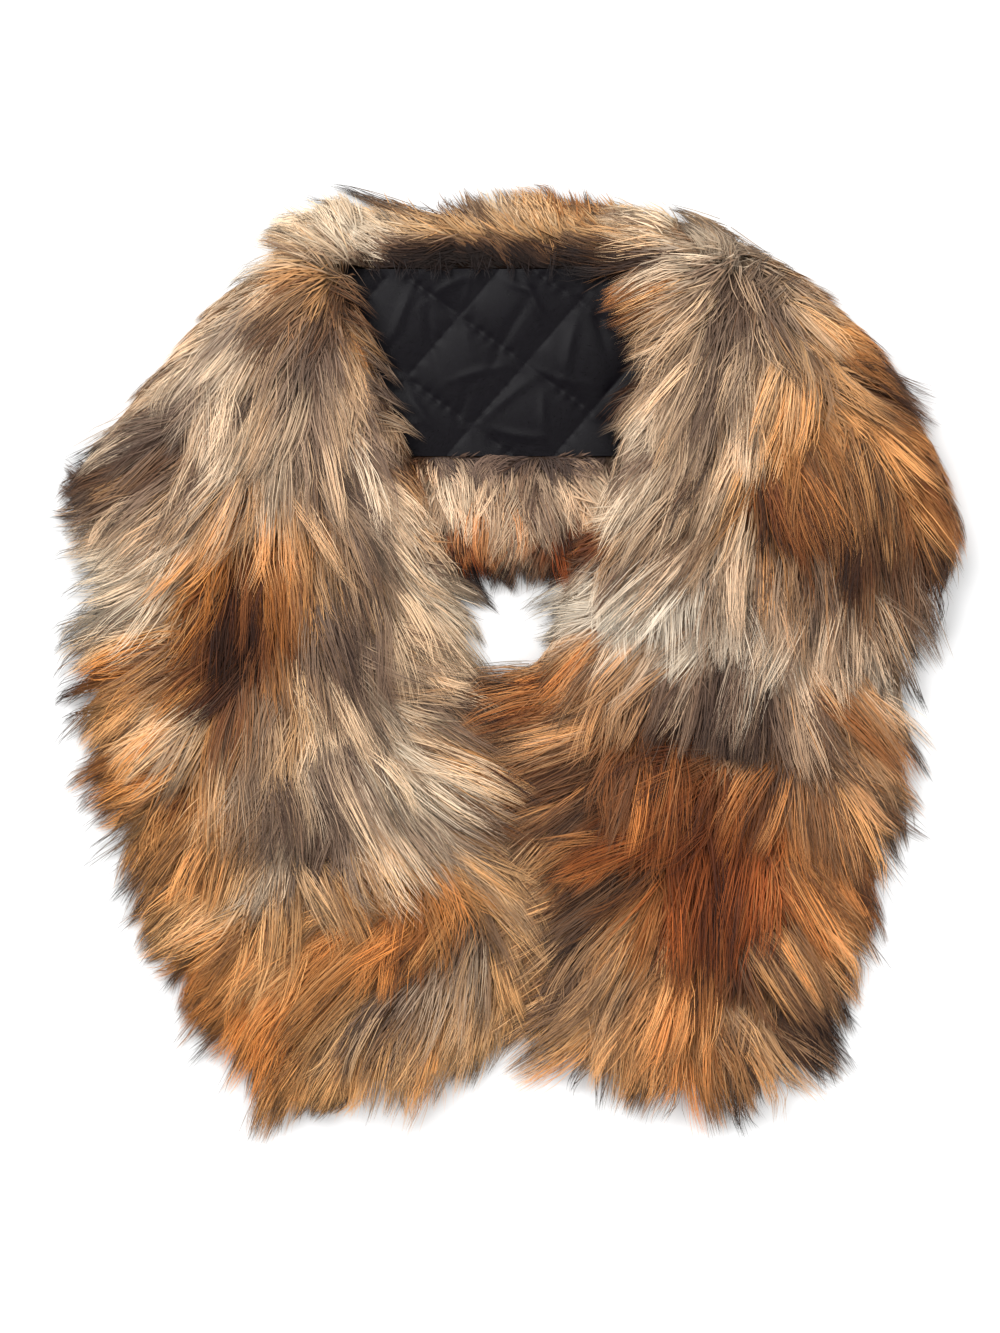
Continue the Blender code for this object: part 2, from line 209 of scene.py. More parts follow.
# patches of each colour on the plan, a few of them painted shadow: x, y, half length, half width, angle in
# degrees, strength
dyeAndShadowPatches = {
    "cream": [
        (-105, 234, 33, 22, 0, 0.22), (-95, 224, 20, 10, 10, 1.0), (-150, 107, 18, 11, 60, 0.9),
        (-130, 74, 26, 17, 40, 0.6), (-28, 31, 18, 13, -50, 0.8), (-182, -50, 17, 12, 60, 0.7),
        (69, 85, 14, 11, 40, 0.6), (54, 31, 20, 11, 12, 0.8), (13, -136, 16, 9, 70, 0.6),
        (83, -162, 20, 12, 0, 0.4), (90, 8, 20, 9, -10, 0.5), (124, 59, 17, 11, 70, 0.6),
        (-208, 112, 9, 9, 0, 1.0), (14, 5, 15, 9, 20, 1.0), (107, 224, 24, 9, -12, 0.9),
        (-92, 240, 20, 9, 10, 0.3), (-82, 226, 24, 9, 8, 0.9), (143, 115, 30, 10, -20, 0.6),
        (-178, 60, 16, 11, 20, 0.9), (-43, 56, 16, 13, 70, 1.2), (60, 31, 30, 11, 5, 1.0),
        (-139, -134, 27, 12, 30, 0.6), (206, -4, 26, 12, -60, 0.8), (-124, -160, 19, 10, 30, 1.0),
        (18, 247, 44, 6, 0, 0.4), (14, 58, 16, 8, 0, 0.6), (-124, 222, 24, 16, 40, 0.4),
        (-154, 165, 50, 25, 50, 0.25), (-70, 99, 19, 8, -60, 0.3), (-127, 88, 33, 12, 70, 0.3),
        (-201, 55, 28, 15, 10, 1.0), (-204, 28, 26, 14, 0, 2.1), (-184, -25, 24, 13, 70, 0.6),
        (-157, -77, 16, 10, 60, 0.2), (-55, -34, 33, 7, -50, 0.5), (-32, 26, 34, 13, -60, 0.8),
        (-37, -72, 36, 14, -55, 0.35), (-62, -114, 28, 14, 60, 0.7), (-66, -84, 26, 12, 60, 0.45),
        (-121, -111, 22, 9, 60, 0.4), (-100, -40, 30, 10, 75, 0.25), (-33, -179, 20, 8, 40, 0.3),
        (-84, -246, 44, 12, 5, 1.6), (12, -140, 40, 7, 85, 0.6), (3, -105, 22, 7, 80, 0.4),
        (77, 239, 28, 12, 0, 0.3), (85, 209, 33, 12, -5, 0.3), (82, 138, 40, 11, 75, 0.4),
        (128, 114, 24, 12, 70, 0.8), (82, 24, 47, 14, -14, 2.4), (140, -1, 42, 14, -14, 1.6),
        (47, 33, 22, 11, 20, 0.5), (55, -196, 26, 10, 70, 0.12), (-28, 86, 14, 15, 0, 0.3),
        (24, 84, 18, 15, 0, 0.1), (10, 66, 11, 9, 0, 1.0),
    ],
    "tan": [
        (124, -54, 18, 9, -20, 0.7), (97, 182, 26, 9, 85, 1.6), (123, -53, 12, 10, 0, 0.6),
        (-149, -163, 15, 12, 30, 0.7), (-165, 121, 28, 11, 50, 0.25), (-170, 182, 33, 13, 50, 0.25),
        (-34, 32, 36, 16, -60, 0.8), (165, 187, 33, 16, -35, 0.4), (105, 66, 33, 11, 70, 0.3),
        (55, -22, 22, 12, 20, 0.3), (-6, 84, 62, 13, 0, 0.3),
    ],
    "gold": [
        (-143, -176, 72, 50, -20, 0.2), (-209, -33, 33, 94, 0, 0.16), (-38, 245, 33, 8, -20, 0.2),
        (-103, 204, 21, 16, 70, 0.5), (-112, 34, 22, 14, 60, 0.6), (104, -190, 26, 12, 10, 0.5),
        (48, -216, 30, 12, 10, 0.6), (62, -24, 28, 11, 10, 0.6), (-104, 212, 18, 13, 70, 1.0),
        (-72, 197, 13, 9, -10, 0.8), (-170, -106, 26, 12, 35, 1.0), (-196, -66, 26, 12, 60, 0.7),
        (150, -190, 13, 11, 0, 0.4), (-82, 173, 13, 9, -60, 0.3), (-116, 55, 22, 12, 65, 0.35),
        (-157, 58, 19, 11, 60, 0.25), (-209, -21, 15, 11, 0, 1.1), (-193, -95, 22, 14, 40, 0.5),
        (-116, -44, 20, 12, 75, 0.3), (-28, 19, 28, 13, -60, 0.3), (-127, -187, 33, 14, 25, 0.35),
        (-94, -240, 61, 17, 5, 3.4), (13, -142, 46, 10, 85, 2.0), (193, 177, 14, 9, -40, 0.5),
        (212, 127, 20, 15, -50, 0.45), (182, 121, 24, 13, -35, 0.3), (33, -66, 28, 19, 45, 0.3),
        (176, -110, 31, 19, -60, 0.4), (105, -205, 22, 13, 70, 0.4), (77, -231, 22, 13, 60, 0.3),
        (33, 234, 72, 8, 0, 0.25),
    ],
    "rust": [
        (105, -116, 94, 82, 0, 0.2), (-143, -176, 72, 50, -20, 0.16), (176, 99, 61, 50, -35, 0.12),
        (211, 92, 15, 11, -50, 0.4), (71, 206, 17, 7, -68, 1.5), (-9, -83, 14, 9, 75, 0.5),
        (151, -123, 20, 13, -65, 0.5), (-108, 206, 12, 9, 0, 0.35), (-79, 187, 9, 6, -60, 0.15),
        (-120, 63, 12, 8, 65, 0.14), (-138, 44, 13, 10, 60, 0.25), (-150, 26, 50, 32, 70, 0.85),
        (-172, 28, 13, 8, 60, 0.2), (-222, -6, 16, 10, 0, 2.8), (-208, -63, 17, 12, 60, 1.8),
        (-184, -105, 22, 14, 40, 0.3), (-144, -164, 38, 15, 35, 0.8), (-94, -154, 44, 12, 25, 0.6),
        (-47, -136, 31, 10, 30, 0.5), (-131, -200, 20, 12, 30, 0.9), (-120, -221, 16, 11, -60, 0.5),
        (11, -22, 24, 9, 30, 0.3), (70, 198, 28, 7, -75, 0.5), (197, 170, 20, 12, -40, 0.5),
        (215, 129, 16, 11, -50, 0.3), (165, 99, 33, 19, -35, 0.7), (27, -14, 28, 14, 30, 0.25),
        (75, -52, 16, 11, 50, 1.2), (110, -105, 50, 33, 0, 1.0), (80, -91, 33, 18, 30, 0.45),
        (98, -134, 24, 20, 60, 1.0), (99, -193, 28, 14, 70, 0.4), (105, -234, 28, 13, 80, 0.3),
        (19, 251, 14, 11, 0, 0.25), (48, 254, 15, 13, 0, 0.35), (-18, 70, 20, 5, 0, 0.6),
        (20, -17, 19, 9, 30, 0.8),
    ],
    "chestnut": [
        (110, -121, 82, 77, 0, 0.07), (83, -56, 26, 10, 25, 0.5), (44, 252, 17, 8, 0, 0.25),
        (-179, -80, 15, 9, 30, 0.35), (194, -27, 26, 11, -50, 0.35), (-72, -127, 22, 11, 20, 0.4),
        (124, -217, 13, 12, 0, 0.2), (-110, 180, 16, 11, 0, 0.1), (-118, 179, 14, 8, 70, 0.12),
        (-193, 105, 38, 9, 20, 0.13), (-146, 15, 36, 21, 75, 1.3), (-165, -111, 28, 11, 30, 0.2),
        (-116, -204, 22, 11, 30, 0.2), (-55, -162, 33, 11, 30, 0.22), (4, -57, 28, 9, 80, 1.3),
        (234, 94, 28, 11, -65, 0.3), (151, 85, 22, 13, -40, 0.45), (190, 61, 44, 13, -16, 0.5),
        (209, 6, 22, 11, -60, 0.1), (34, -73, 22, 13, 45, 0.25), (119, -117, 26, 18, 60, 4.0),
        (132, -154, 22, 15, 60, 1.2), (94, -84, 34, 17, 20, 0.8), (55, -106, 33, 16, 40, 0.2),
        (193, -122, 22, 12, -60, 0.25), (154, -148, 28, 14, -60, 0.3), (-18, 64, 20, 6, 0, 1.2),
        (38, 65, 20, 7, 0, 1.0), (-47, 105, 12, 8, 0, 0.25),
    ],
    "taupe": [
        (-40, -107, 20, 10, 30, 0.9), (-100, -136, 34, 9, 20, 0.6), (96, 88, 20, 9, 60, 0.6),
        (-131, -39, 28, 13, 72, 0.9), (126, 142, 17, 12, 60, 1.6), (15, -108, 15, 11, 80, 1.0),
        (153, -160, 14, 12, -60, 1.0), (40, -160, 14, 13, 70, 1.2), (-110, 143, 44, 14, 85, 0.4),
        (-121, 176, 22, 12, 70, 0.35), (-77, 55, 22, 9, -60, 0.25), (-176, -47, 22, 11, 70, 0.25),
        (-77, -22, 38, 16, -55, 0.25), (-94, -88, 28, 11, 70, 0.35), (-55, -195, 38, 14, 25, 0.45),
        (121, 165, 55, 15, 80, 0.5), (204, 14, 30, 15, -60, 0.3), (160, 34, 38, 9, -12, 0.5),
        (-28, -22, 16, 11, 60, 0.25), (176, -55, 28, 19, -60, 0.35), (173, -22, 22, 11, -50, 0.3),
        (129, -204, 22, 12, 80, 0.4),
    ],
    "slate": [
        (-150, 178, 26, 8, 45, 0.12), (-67, 146, 22, 6, 85, 0.25), (-181, 120, 26, 11, 60, 0.55),
        (-4, -36, 26, 12, -14, 0.3), (-70, 60, 14, 9, -60, 0.25), (-12, -80, 33, 10, 20, 1.0),
        (124, 195, 15, 11, -20, 0.35), (126, -6, 24, 12, -12, 0.5), (-97, -107, 17, 8, 30, 0.4),
        (194, 98, 24, 15, -35, 0.45), (13, -63, 27, 10, 85, 0.55), (152, 183, 24, 10, -60, 0.3),
        (-95, 170, 15, 11, 75, 0.4), (-97, -78, 16, 11, 55, 0.4), (122, 166, 26, 12, 78, 0.4),
        (-161, 88, 30, 10, 15, 0.4), (-80, 83, 24, 9, -58, 0.3), (125, 26, 15, 9, -15, 0.4),
        (183, 29, 18, 11, -40, 0.35), (-97, 5, 17, 13, 60, 0.65), (-181, 1, 17, 11, 30, 0.4),
        (84, -27, 30, 10, 12, 0.5), (50, -83, 28, 12, 35, 1.1), (166, -82, 27, 12, -55, 0.35),
        (130, -163, 18, 13, -60, 0.6), (-97, -162, 20, 9, 30, 0.3), (189, 75, 24, 14, -35, 0.45),
        (-179, -105, 15, 8, 30, 0.4), (-81, -105, 24, 7, 20, 0.25), (61, -128, 30, 15, 40, 0.6),
        (67, -182, 22, 10, 80, 0.35), (-69, -217, 17, 8, 15, 0.35), (-100, 105, 33, 7, 82, 0.3),
        (-110, 158, 16, 9, 80, 0.22), (-187, 127, 33, 8, 40, 0.15), (-215, 88, 33, 6, 5, 0.35),
        (-91, 33, 16, 7, -60, 0.2), (-129, -84, 19, 12, 60, 0.3), (-82, 18, 28, 11, -58, 0.35),
        (-85, -7, 24, 4, -50, 0.35), (-55, -89, 33, 5, -55, 0.35), (-91, -74, 14, 8, 70, 0.2),
        (-11, -154, 22, 9, 75, 0.4), (-55, -179, 28, 8, 30, 0.2), (-66, -199, 22, 10, 25, 0.3),
        (116, 215, 14, 8, 0, 0.2), (104, 178, 30, 8, -85, 0.25), (220, 43, 28, 11, -30, 0.35),
        (102, 41, 20, 4, -70, 0.3), (119, -34, 31, 14, -10, 2.8), (154, -58, 22, 11, -50, 0.2),
        (69, -63, 24, 11, 30, 0.2), (47, -143, 24, 11, 70, 1.0), (36, -182, 22, 12, 70, 0.4),
        (170, -187, 28, 16, -60, 0.3), (2, 109, 62, 6, 0, 1.0), (4, 88, 8, 18, 80, 0.25),
    ],
    "umber": [
        # the first umber patch, by the lining's upper left corner, is painted shadow
        (-84, 197, 14, 8, -60, 0.4), (98, -80, 17, 10, 30, 0.4), (209, 142, 14, 9, -50, 0.35),
        (72, 168, 22, 8, 80, 1.5), (67, 187, 17, 9, 90, 0.9), (80, -54, 28, 11, 20, 0.5),
        (113, -103, 18, 11, 10, 0.35), (-223, 105, 16, 8, 10, 0.35), (-147, 8, 25, 13, 80, 3.6),
        (2, -73, 14, 6, 80, 1.2), (212, 151, 14, 7, -50, 0.4), (180, 66, 31, 10, -16, 1.1),
        (125, -122, 22, 4, 88, 2.0), (143, -165, 19, 13, 0, 0.4), (168, -198, 24, 14, -60, 0.4),
        # the umber patch at (-4, 221) is painted shadow along the seam above the lining
        (-28, 249, 28, 4, -10, 0.3), (-4, 221, 55, 7, 0, 3.4), (0, 53, 51, 6, 0, 0.9),
        (-6, -21, 11, 7, 60, 1.0),
    ],
    "soot": [
        # the first soot patch is painted shadow along the seam above the lining
        (-4, 219, 58, 5, 0, 1.0), (-222, 113, 13, 6, 30, 0.2), (63, 182, 28, 4, -80, 0.6),
        (245, 48, 12, 12, 0, 0.4), (119, -36, 18, 9, -10, 0.7), (132, -253, 13, 11, 0, 0.8),
    ],
}
palette = np.array([fromSrgb(c) for c in furColours.values()])
groundDye = sum(share * np.log(fromSrgb(furColours[name])) for name, share in groundColours.items())


# how much of each colour the pile has at a place
def dyeAndShadowAt(x, y):
    names = list(furColours)
    shares = np.zeros((len(x), len(names)))
    for name, share in groundColours.items():
        shares[:, names.index(name)] = share
    for name, patches in dyeAndShadowPatches.items():
        for px, py, long, wide, angle, strength in patches:
            along, across = alongAcross(x, y, (px, py), angle)
            fade = np.exp(-((along / (long * mm)) ** 2) - (across / (wide * mm)) ** 2)
            shares[:, names.index(name)] += dyeing["patchStrength"] * strength * fade
    return shares / shares.sum(1, keepdims=True)


# how dark a hair's colour is, as logarithms: partly its place's blend of dyes and painted shadow, partly one
# dye bath
def hairDye(shares, blend):
    pick = (shares.cumsum(1) > rng.random(len(shares))[:, None]).argmax(1)
    placed = groundDye + (shares @ np.log(palette) - groundDye) * dyeing["contrast"]
    return placed * blend + np.log(palette)[pick] * (1 - blend)


def smoothed(values, width):
    pad = np.pad(values, width, mode="edge")
    return np.convolve(pad, np.ones(2 * width + 1) / (2 * width + 1), "valid")


def rangeOver(values, width, pick):
    pad = np.pad(values, width, mode="edge")
    return np.array([pick(pad[k : k + 2 * width + 1]) for k in range(len(values))])


def softened(grid, times):
    for _ in range(times):
        pad = np.pad(grid, 1, mode="edge")
        cross = pad[:-2, 1:-1] + pad[2:, 1:-1] + pad[1:-1, :-2] + pad[1:-1, 2:]
        grid = 0.5 * grid + 0.125 * cross
    return grid


def gridArea(grid):
    a, b, c, d = grid[:-1, :-1], grid[:-1, 1:], grid[1:, :-1], grid[1:, 1:]
    return np.linalg.norm(np.cross(d - a, c - b), axis=-1) / 2


def gridNormals(grid):
    down = np.gradient(grid, axis=0)
    right = np.gradient(grid, axis=1)
    normal = unit(np.cross(right, down))
    return normal * np.where(normal[..., 2:] < 0, -1, 1)


# a quarter circle's rise from 0 to 1
def rounded(t):
    return np.sqrt(1 - (1 - np.clip(t, 0, 1)) ** 2)


pile = {
    "stations": (0.0, 0.25, 0.5, 0.78, 1.0),
    "shape": (0.8, 1.0, 0.9, 0.6, 0.0),  # of a hair's width, at those stations
    "lockSpacing": 6.2 * mm,
    "lockRadius": 5.2 * mm,
    "hairsInLock": 18,
    "bunchSpacing": 26 * mm,  # locks gather in bunches
    "bunchPull": 0.6,
    "bunchLength": (0.86, 1.14),
    "bunchLift": (0.65, 1.35),
    "bunchShade": 0.18,
    "length": (52 * mm, 74 * mm),
    "hairLength": (0.74, 1.06),  # of its lock's
    "edgeLength": 0.58,
    "edgeBand": 30 * mm,  # where the pile gets shorter
    "edgeFlatter": 0.45,
    "droop": (0.08, 0.25),  # everywhere, and what the edge adds to it
    "droopBand": 16 * mm,
    "strayShare": 0.3,  # of the locks at an edge, longer the darker it is
    "strayBand": 14 * mm,
    "strayLonger": 0.4,
    "width": (0.28 * mm, 0.52 * mm),
    "lift": (17, 36),
    "clump": (0.4, 0.95),
    "bunchTurn": 14,
    "lockTurn": 10,
    "hairTurn": 5,
    "hairLift": 6,
    "wave": 0.8 * mm,
    "lockWave": 4.0 * mm,
    "lockBlend": 0.76,  # of its place's blend against one dye bath
    "hairBlend": 0.7,
    "dyeShares": (0.66, 0.34),  # of the lock's dye and the hair's own
    "darkLocks": 0.12,
    "paleLocks": 0.14,
    "paler": 0.3,
    "lockShade": (0.24, 0.3),  # middle and spread
    "hairShade": 0.06,
    "dyeJitter": 3.5 * mm,
    "darkTips": 0.22,
    "darkTipBand": 34 * mm,  # where a dark edge adds to them
    "darkTipHairs": 0.8,  # of a dark-tipped lock's hairs
    "strayDarkTips": 0.08,
    "colours": 85,
    "palest": 0.94,
    "atlas": 16,  # the map's cells along each side, one for a dye lot of one kind
}
# the short soft hair below
underfur = {
    "stations": np.array([0.0, 0.5, 1.0]),
    "perSquareMm": 0.42,
    "length": (22 * mm, 36 * mm),
    "width": (0.8 * mm, 1.25 * mm),
    "turn": 16,
    "lift": (14, 40),
    "droop": 0.12,
    "blend": 0.75,
    "shade": (-0.2, 0.14),
}
combReach = 14 * mm
stations = np.array(pile["stations"])


def combAt(comb, x, y):
    table = np.array(comb, float)
    cx, cy = onPlan(table[:, 0], table[:, 1])
    angle = np.radians(table[:, 2])
    near = (x[:, None] - cx) ** 2 + (y[:, None] - cy) ** 2
    pull = 1 / (near + combReach**2) ** 2
    return unit(np.stack([pull @ np.cos(angle), pull @ np.sin(angle)], 1))


def pickOnGrid(grid, count):
    area = gridArea(grid)
    cells = rng.choice(area.size, count, p=(area / area.sum()).ravel())
    rows, columns = np.divmod(cells, area.shape[1])
    return rows + rng.random(count), columns + rng.random(count)


def rootsOn(grid, keep, count):
    rows, columns = pickOnGrid(grid, count)
    base = readGrid(grid, rows, columns)
    kept = keep(base)
    return rows[kept], columns[kept], base[kept]


def bowed(start, bend, end, t):
    t = t[None, :, None]
    return start[:, None] * (1 - t) ** 2 + bend[:, None] * 2 * t * (1 - t) + end[:, None] * t**2


# points along hairs that leave the pelt at lift and come to lie along their way
def hairCurve(root, normal, way, length, lift, droop, t):
    flow = np.concatenate([way, np.full((len(way), 1), -0.2)], 1)
    along = unit(flow - normal * dot(flow, normal))
    start = unit(along * np.cos(lift)[:, None] + normal * np.sin(lift)[:, None])
    end = unit(along + normal * 0.04 - np.array([0, 0, 1.0]) * droop[:, None])
    bend = root + start * length[:, None] * 0.42
    tip = bend + end * length[:, None] * 0.58
    return bowed(root, bend, tip, t), along


settling = {
    "above": 0.8 * mm,  # over what hair lies on
    "stagger": 2.2 * mm,
    "overTop": 2 * mm,  # what may stand over the solids' top, or else over the pelt
    "overRest": 6 * mm,
    "pressed": 0.75,  # of what stands higher
    "thin": 14 * mm,
    "hang": 0.65,
    "past": 4 * mm,  # beyond the solids' box, where tips are drawn in
    "kept": 0.45,
}


# keeps hair above what it lies on and under the top of the pile
def settle(points, t):
    z = points[..., 2]
    rest = heightAt("rest", points[..., 0], points[..., 1])
    top = heightAt("top", points[..., 0], points[..., 1])
    low = rest + settling["above"] + settling["stagger"] * t * rng.random((len(z), 1))
    z[:] = np.where(t > 0, np.maximum(z, low), z)
    over = np.maximum(z - np.maximum(top + settling["overTop"], rest + settling["overRest"]), 0)
    z[:] = z - settling["pressed"] * over * (t > 0)
    # tips that stand out past the solids hang down
    z[:] = z - settling["hang"] * ease(1 - top / settling["thin"]) * t * np.maximum(z - low, 0)


# draws in the tips that reach far past the solids' sides
def drawnIn(points):
    for k, (low, high) in enumerate(zip(cadLow[:2], cadHigh[:2])):
        free = points[..., k].clip(low - settling["past"], high + settling["past"])
        points[..., k] = free + settling["kept"] * (points[..., k] - free)


def nearest(points, centres):
    return ((points[:, None, :2] - centres[None, :, :2]) ** 2).sum(-1).argmin(1)


# one lot of hairs, as hairPiece takes them
def strands(points, normal, colour, kind, t, width):
    width = rng.uniform(*width, len(points))
    return {"points": points, "normal": normal, "colour": colour, "kind": kind, "t": t, "width": width}


def growPile(grid, fromEdge, short, comb, keep, darkAt, density=1.0, lengthScale=1.0, upright=0.0):
    normals = unit(gridNormals(grid) + np.array([0, 0, upright]))
    area = gridArea(grid).sum()

    bunchBase = rootsOn(grid, keep, int(area / pile["bunchSpacing"] ** 2))[2]
    bunchCount = len(bunchBase)
    bunchTurn = rng.normal(0, pile["bunchTurn"], bunchCount)
    bunchLength = rng.uniform(*pile["bunchLength"], bunchCount)
    bunchShade = rng.normal(0, pile["bunchShade"], bunchCount)
    bunchLift = rng.uniform(*pile["bunchLift"], bunchCount)

    rows, columns, base = rootsOn(grid, keep, int(density * area / pile["lockSpacing"] ** 2))
    lockCount = len(rows)
    bunch = nearest(base, bunchBase)
    edge = readGrid(fromEdge, rows, columns)
    dark = darkAt(base)
    turn = bunchTurn[bunch] + rng.normal(0, pile["lockTurn"], lockCount)
    way = turned(combAt(comb, base[:, 0], base[:, 1]), turn)
    nearEdge = 1 - ease(edge / pile["edgeBand"])
    stray = (rng.random(lockCount) < pile["strayShare"]) & (edge < pile["strayBand"])
    lengths = rng.uniform(*pile["length"], lockCount) * lengthScale * bunchLength[bunch]
    lengths *= readGrid(short, rows, columns)
    lengths *= 1 - (1 - pile["edgeLength"]) * nearEdge
    lengths *= np.where(stray, 1 + pile["strayLonger"] * dark, 1)
    lift = np.radians(rng.uniform(*pile["lift"], lockCount)) * bunchLift[bunch]
    lift *= 1 - pile["edgeFlatter"] * nearEdge
    droop = pile["droop"][0] + pile["droop"][1] * (1 - ease(edge / pile["droopBand"]))
    lockNormal = unit(readGrid(normals, rows, columns))
    guides, _ = hairCurve(base, lockNormal, way, lengths, lift, droop, stations)
    middle = guides[:, 2]
    # locks lean together into bunches
    gathered = np.zeros((bunchCount, len(stations), 3))
    np.add.at(gathered, bunch, guides)
    gathered /= np.maximum(np.bincount(bunch, minlength=bunchCount), 1)[:, None, None]
    lean = pile["bunchPull"] * rng.uniform(0.5, 1, lockCount)[:, None] * stations**1.5
    guides += (gathered[bunch] - guides) * lean[..., None]
    jitter = rng.normal(0, pile["dyeJitter"], (lockCount, 2))
    lockShares = dyeAndShadowAt(middle[:, 0] + jitter[:, 0], middle[:, 1] + jitter[:, 1])
    lockDye = hairDye(lockShares, pile["lockBlend"])
    # a few locks are dyed much darker or paler than their place
    streak = rng.random(lockCount)
    darkLock = streak < pile["darkLocks"]
    lockDye[darkLock] = 0.5 * lockDye[darkLock] + 0.5 * np.log(fromSrgb(furColours["umber"]))
    lockShade = bunchShade[bunch] + rng.normal(*pile["lockShade"], lockCount)
    lockShade += pile["paler"] * (streak > 1 - pile["paleLocks"])
    darkTip = rng.random(lockCount) < pile["darkTips"] + dark * (1 - ease(edge / pile["darkTipBand"]))

    lock = np.repeat(np.arange(lockCount), pile["hairsInLock"])
    count = len(lock)
    spread = pile["lockRadius"] * np.sqrt(rng.random(count))
    turn = rng.random(count) * 2 * math.pi
    rowStep = readGrid(grid, rows + 0.5, columns) - readGrid(grid, rows - 0.5, columns)
    columnStep = readGrid(grid, rows, columns + 0.5) - readGrid(grid, rows, columns - 0.5)
    rowStep = np.maximum(np.linalg.norm(rowStep, axis=1)[lock], 1 * mm)
    columnStep = np.maximum(np.linalg.norm(columnStep, axis=1)[lock], 1 * mm)
    r = np.clip(rows[lock] + spread * np.sin(turn) / rowStep, 0, grid.shape[0] - 1.001)
    c = np.clip(columns[lock] + spread * np.cos(turn) / columnStep, 0, grid.shape[1] - 1.001)
    root, normal = readGrid(grid, r, c), unit(readGrid(normals, r, c))
    own = turned(way[lock], rng.normal(0, pile["hairTurn"], count))
    length = lengths[lock] * rng.uniform(*pile["hairLength"], count)
    hairLift = lift[lock] + np.radians(rng.normal(0, pile["hairLift"], count))
    points, along = hairCurve(root, normal, own, length, hairLift, droop[lock], stations)
    pull = rng.uniform(*pile["clump"], count)
    points += (guides[lock] - points) * (pull[:, None] * stations**1.6)[..., None]
    sideways = unit(np.cross(along, normal))
    wave = rng.normal(0, pile["wave"], count)[:, None]
    wave = wave * np.sin(stations * 3.3 + rng.random(count)[:, None] * 6.3)
    wave += rng.normal(0, pile["lockWave"], lockCount)[lock][:, None] * np.sin(stations * 2.7)
    points += sideways[:, None] * (wave * stations)[..., None]
    settle(points, stations)
    ownDye = hairDye(dyeAndShadowAt(points[:, 2, 0], points[:, 2, 1]), pile["hairBlend"])
    dye = lockDye[lock] * pile["dyeShares"][0] + ownDye * pile["dyeShares"][1]
    colour = np.exp(dye + (lockShade[lock] + rng.normal(0, pile["hairShade"], count))[:, None])
    kind = darkTip[lock] & (rng.random(count) < pile["darkTipHairs"])
    kind = (kind | (rng.random(count) < pile["strayDarkTips"])).astype(int)
    guard = strands(points, normal, colour, kind, stations, pile["width"])

    t = underfur["stations"]
    r, c, root = rootsOn(grid, keep, int(area / mm**2 * underfur["perSquareMm"]))
    count = len(root)
    normal = unit(readGrid(normals, r, c))
    turn = bunchTurn[nearest(root, bunchBase)] + rng.normal(0, underfur["turn"], count)
    way = turned(combAt(comb, root[:, 0], root[:, 1]), turn)
    length = rng.uniform(*underfur["length"], count) * readGrid(short, r, c)
    length *= 0.7 + 0.3 * ease(readGrid(fromEdge, r, c) / (25 * mm))
    lift = np.radians(rng.uniform(*underfur["lift"], count))
    points, _ = hairCurve(root, normal, way, length, lift, np.full(count, underfur["droop"]), t)
    settle(points, t)
    colour = hairDye(dyeAndShadowAt(points[:, 1, 0], points[:, 1, 1]), underfur["blend"])
    colour = np.exp(colour + rng.normal(*underfur["shade"], (count, 1)))
    return [guard, strands(points, normal, colour, np.zeros(count, int), t, underfur["width"])]


tufting = {
    "bend": 0.16,
    "deepEnough": 12 * mm,  # of fur where a tuft is rooted
    "ragged": 0.45,  # of its length, how far its tips fall short
    "tipSpread": 1.5 * mm,
    "rootSpread": 3.6 * mm,
    "rootHeight": (1, 6),
    "tipHeight": (1.5, 8),
    "bow": 0.35,
    "arch": 3 * mm,
    "blend": 0.6,
    "darker": 0.8,
}


# where a tuft leaves the fur, for a tip, its way and a bend
def tuftRoot(tip, way, bend, length):
    back = turned(way, math.degrees(bend))[0]
    return tip[0] - back[0] * length * mm, tip[1] - back[1] * length * mm


# rows of tufts: the tip's place on the plan, the way it points, its length and number of hairs
def growTufts(tufts, kind=2):
    parts = []
    for x, y, angle, length, number in tufts:
        way = np.array([[math.cos(math.radians(angle)), math.sin(math.radians(angle))]])
        tip = onPlan(x, y)
        bend, deep = rng.normal(0, tufting["bend"]), tufting["deepEnough"]
        # bent the way that roots it in the fur
        depth = {b: min(heightAt("rest", *tuftRoot(tip, way, b, length)), deep) for b in (bend, -bend, 0)}
        bend = max(depth, key=depth.get)
        fall = rng.random((number, 1)) ** 1.6
        tips = np.array([*tip, 0]) - fall * np.append(way[0], 0) * length * tufting["ragged"] * mm
        tips[:, :2] += rng.normal(0, tufting["tipSpread"], (number, 2))
        roots = np.array([*tuftRoot(tip, way, bend, length), 0]) + np.zeros((number, 3))
        roots[:, :2] += rng.normal(0, tufting["rootSpread"], (number, 2))
        for ends, height in ((roots, "rootHeight"), (tips, "tipHeight")):
            ends[:, 2] = heightAt("rest", ends[:, 0], ends[:, 1]) + rng.uniform(*tufting[height], number) * mm
        middle = (roots + tips) / 2
        middle[:, :2] += (np.array([-way[0][1], way[0][0]]) * bend * length * tufting["bow"] * mm)[None]
        middle[:, 2] = np.maximum(roots[:, 2], tips[:, 2]) + tufting["arch"]
        points = bowed(roots, middle, tips, stations)
        settle(points, stations)
        colour = hairDye(dyeAndShadowAt(points[:, 1, 0], points[:, 1, 1]), tufting["blend"])
        colour = np.exp(colour) * tufting["darker"]
        along = unit(tips - roots)
        normal = unit(np.array([0, 0, 1.0]) - along * along[:, 2:])
        parts.append(strands(points, normal, colour, np.full(number, kind), stations, pile["width"]))
    return {key: (stations if key == "t" else np.concatenate([p[key] for p in parts])) for key in parts[0]}


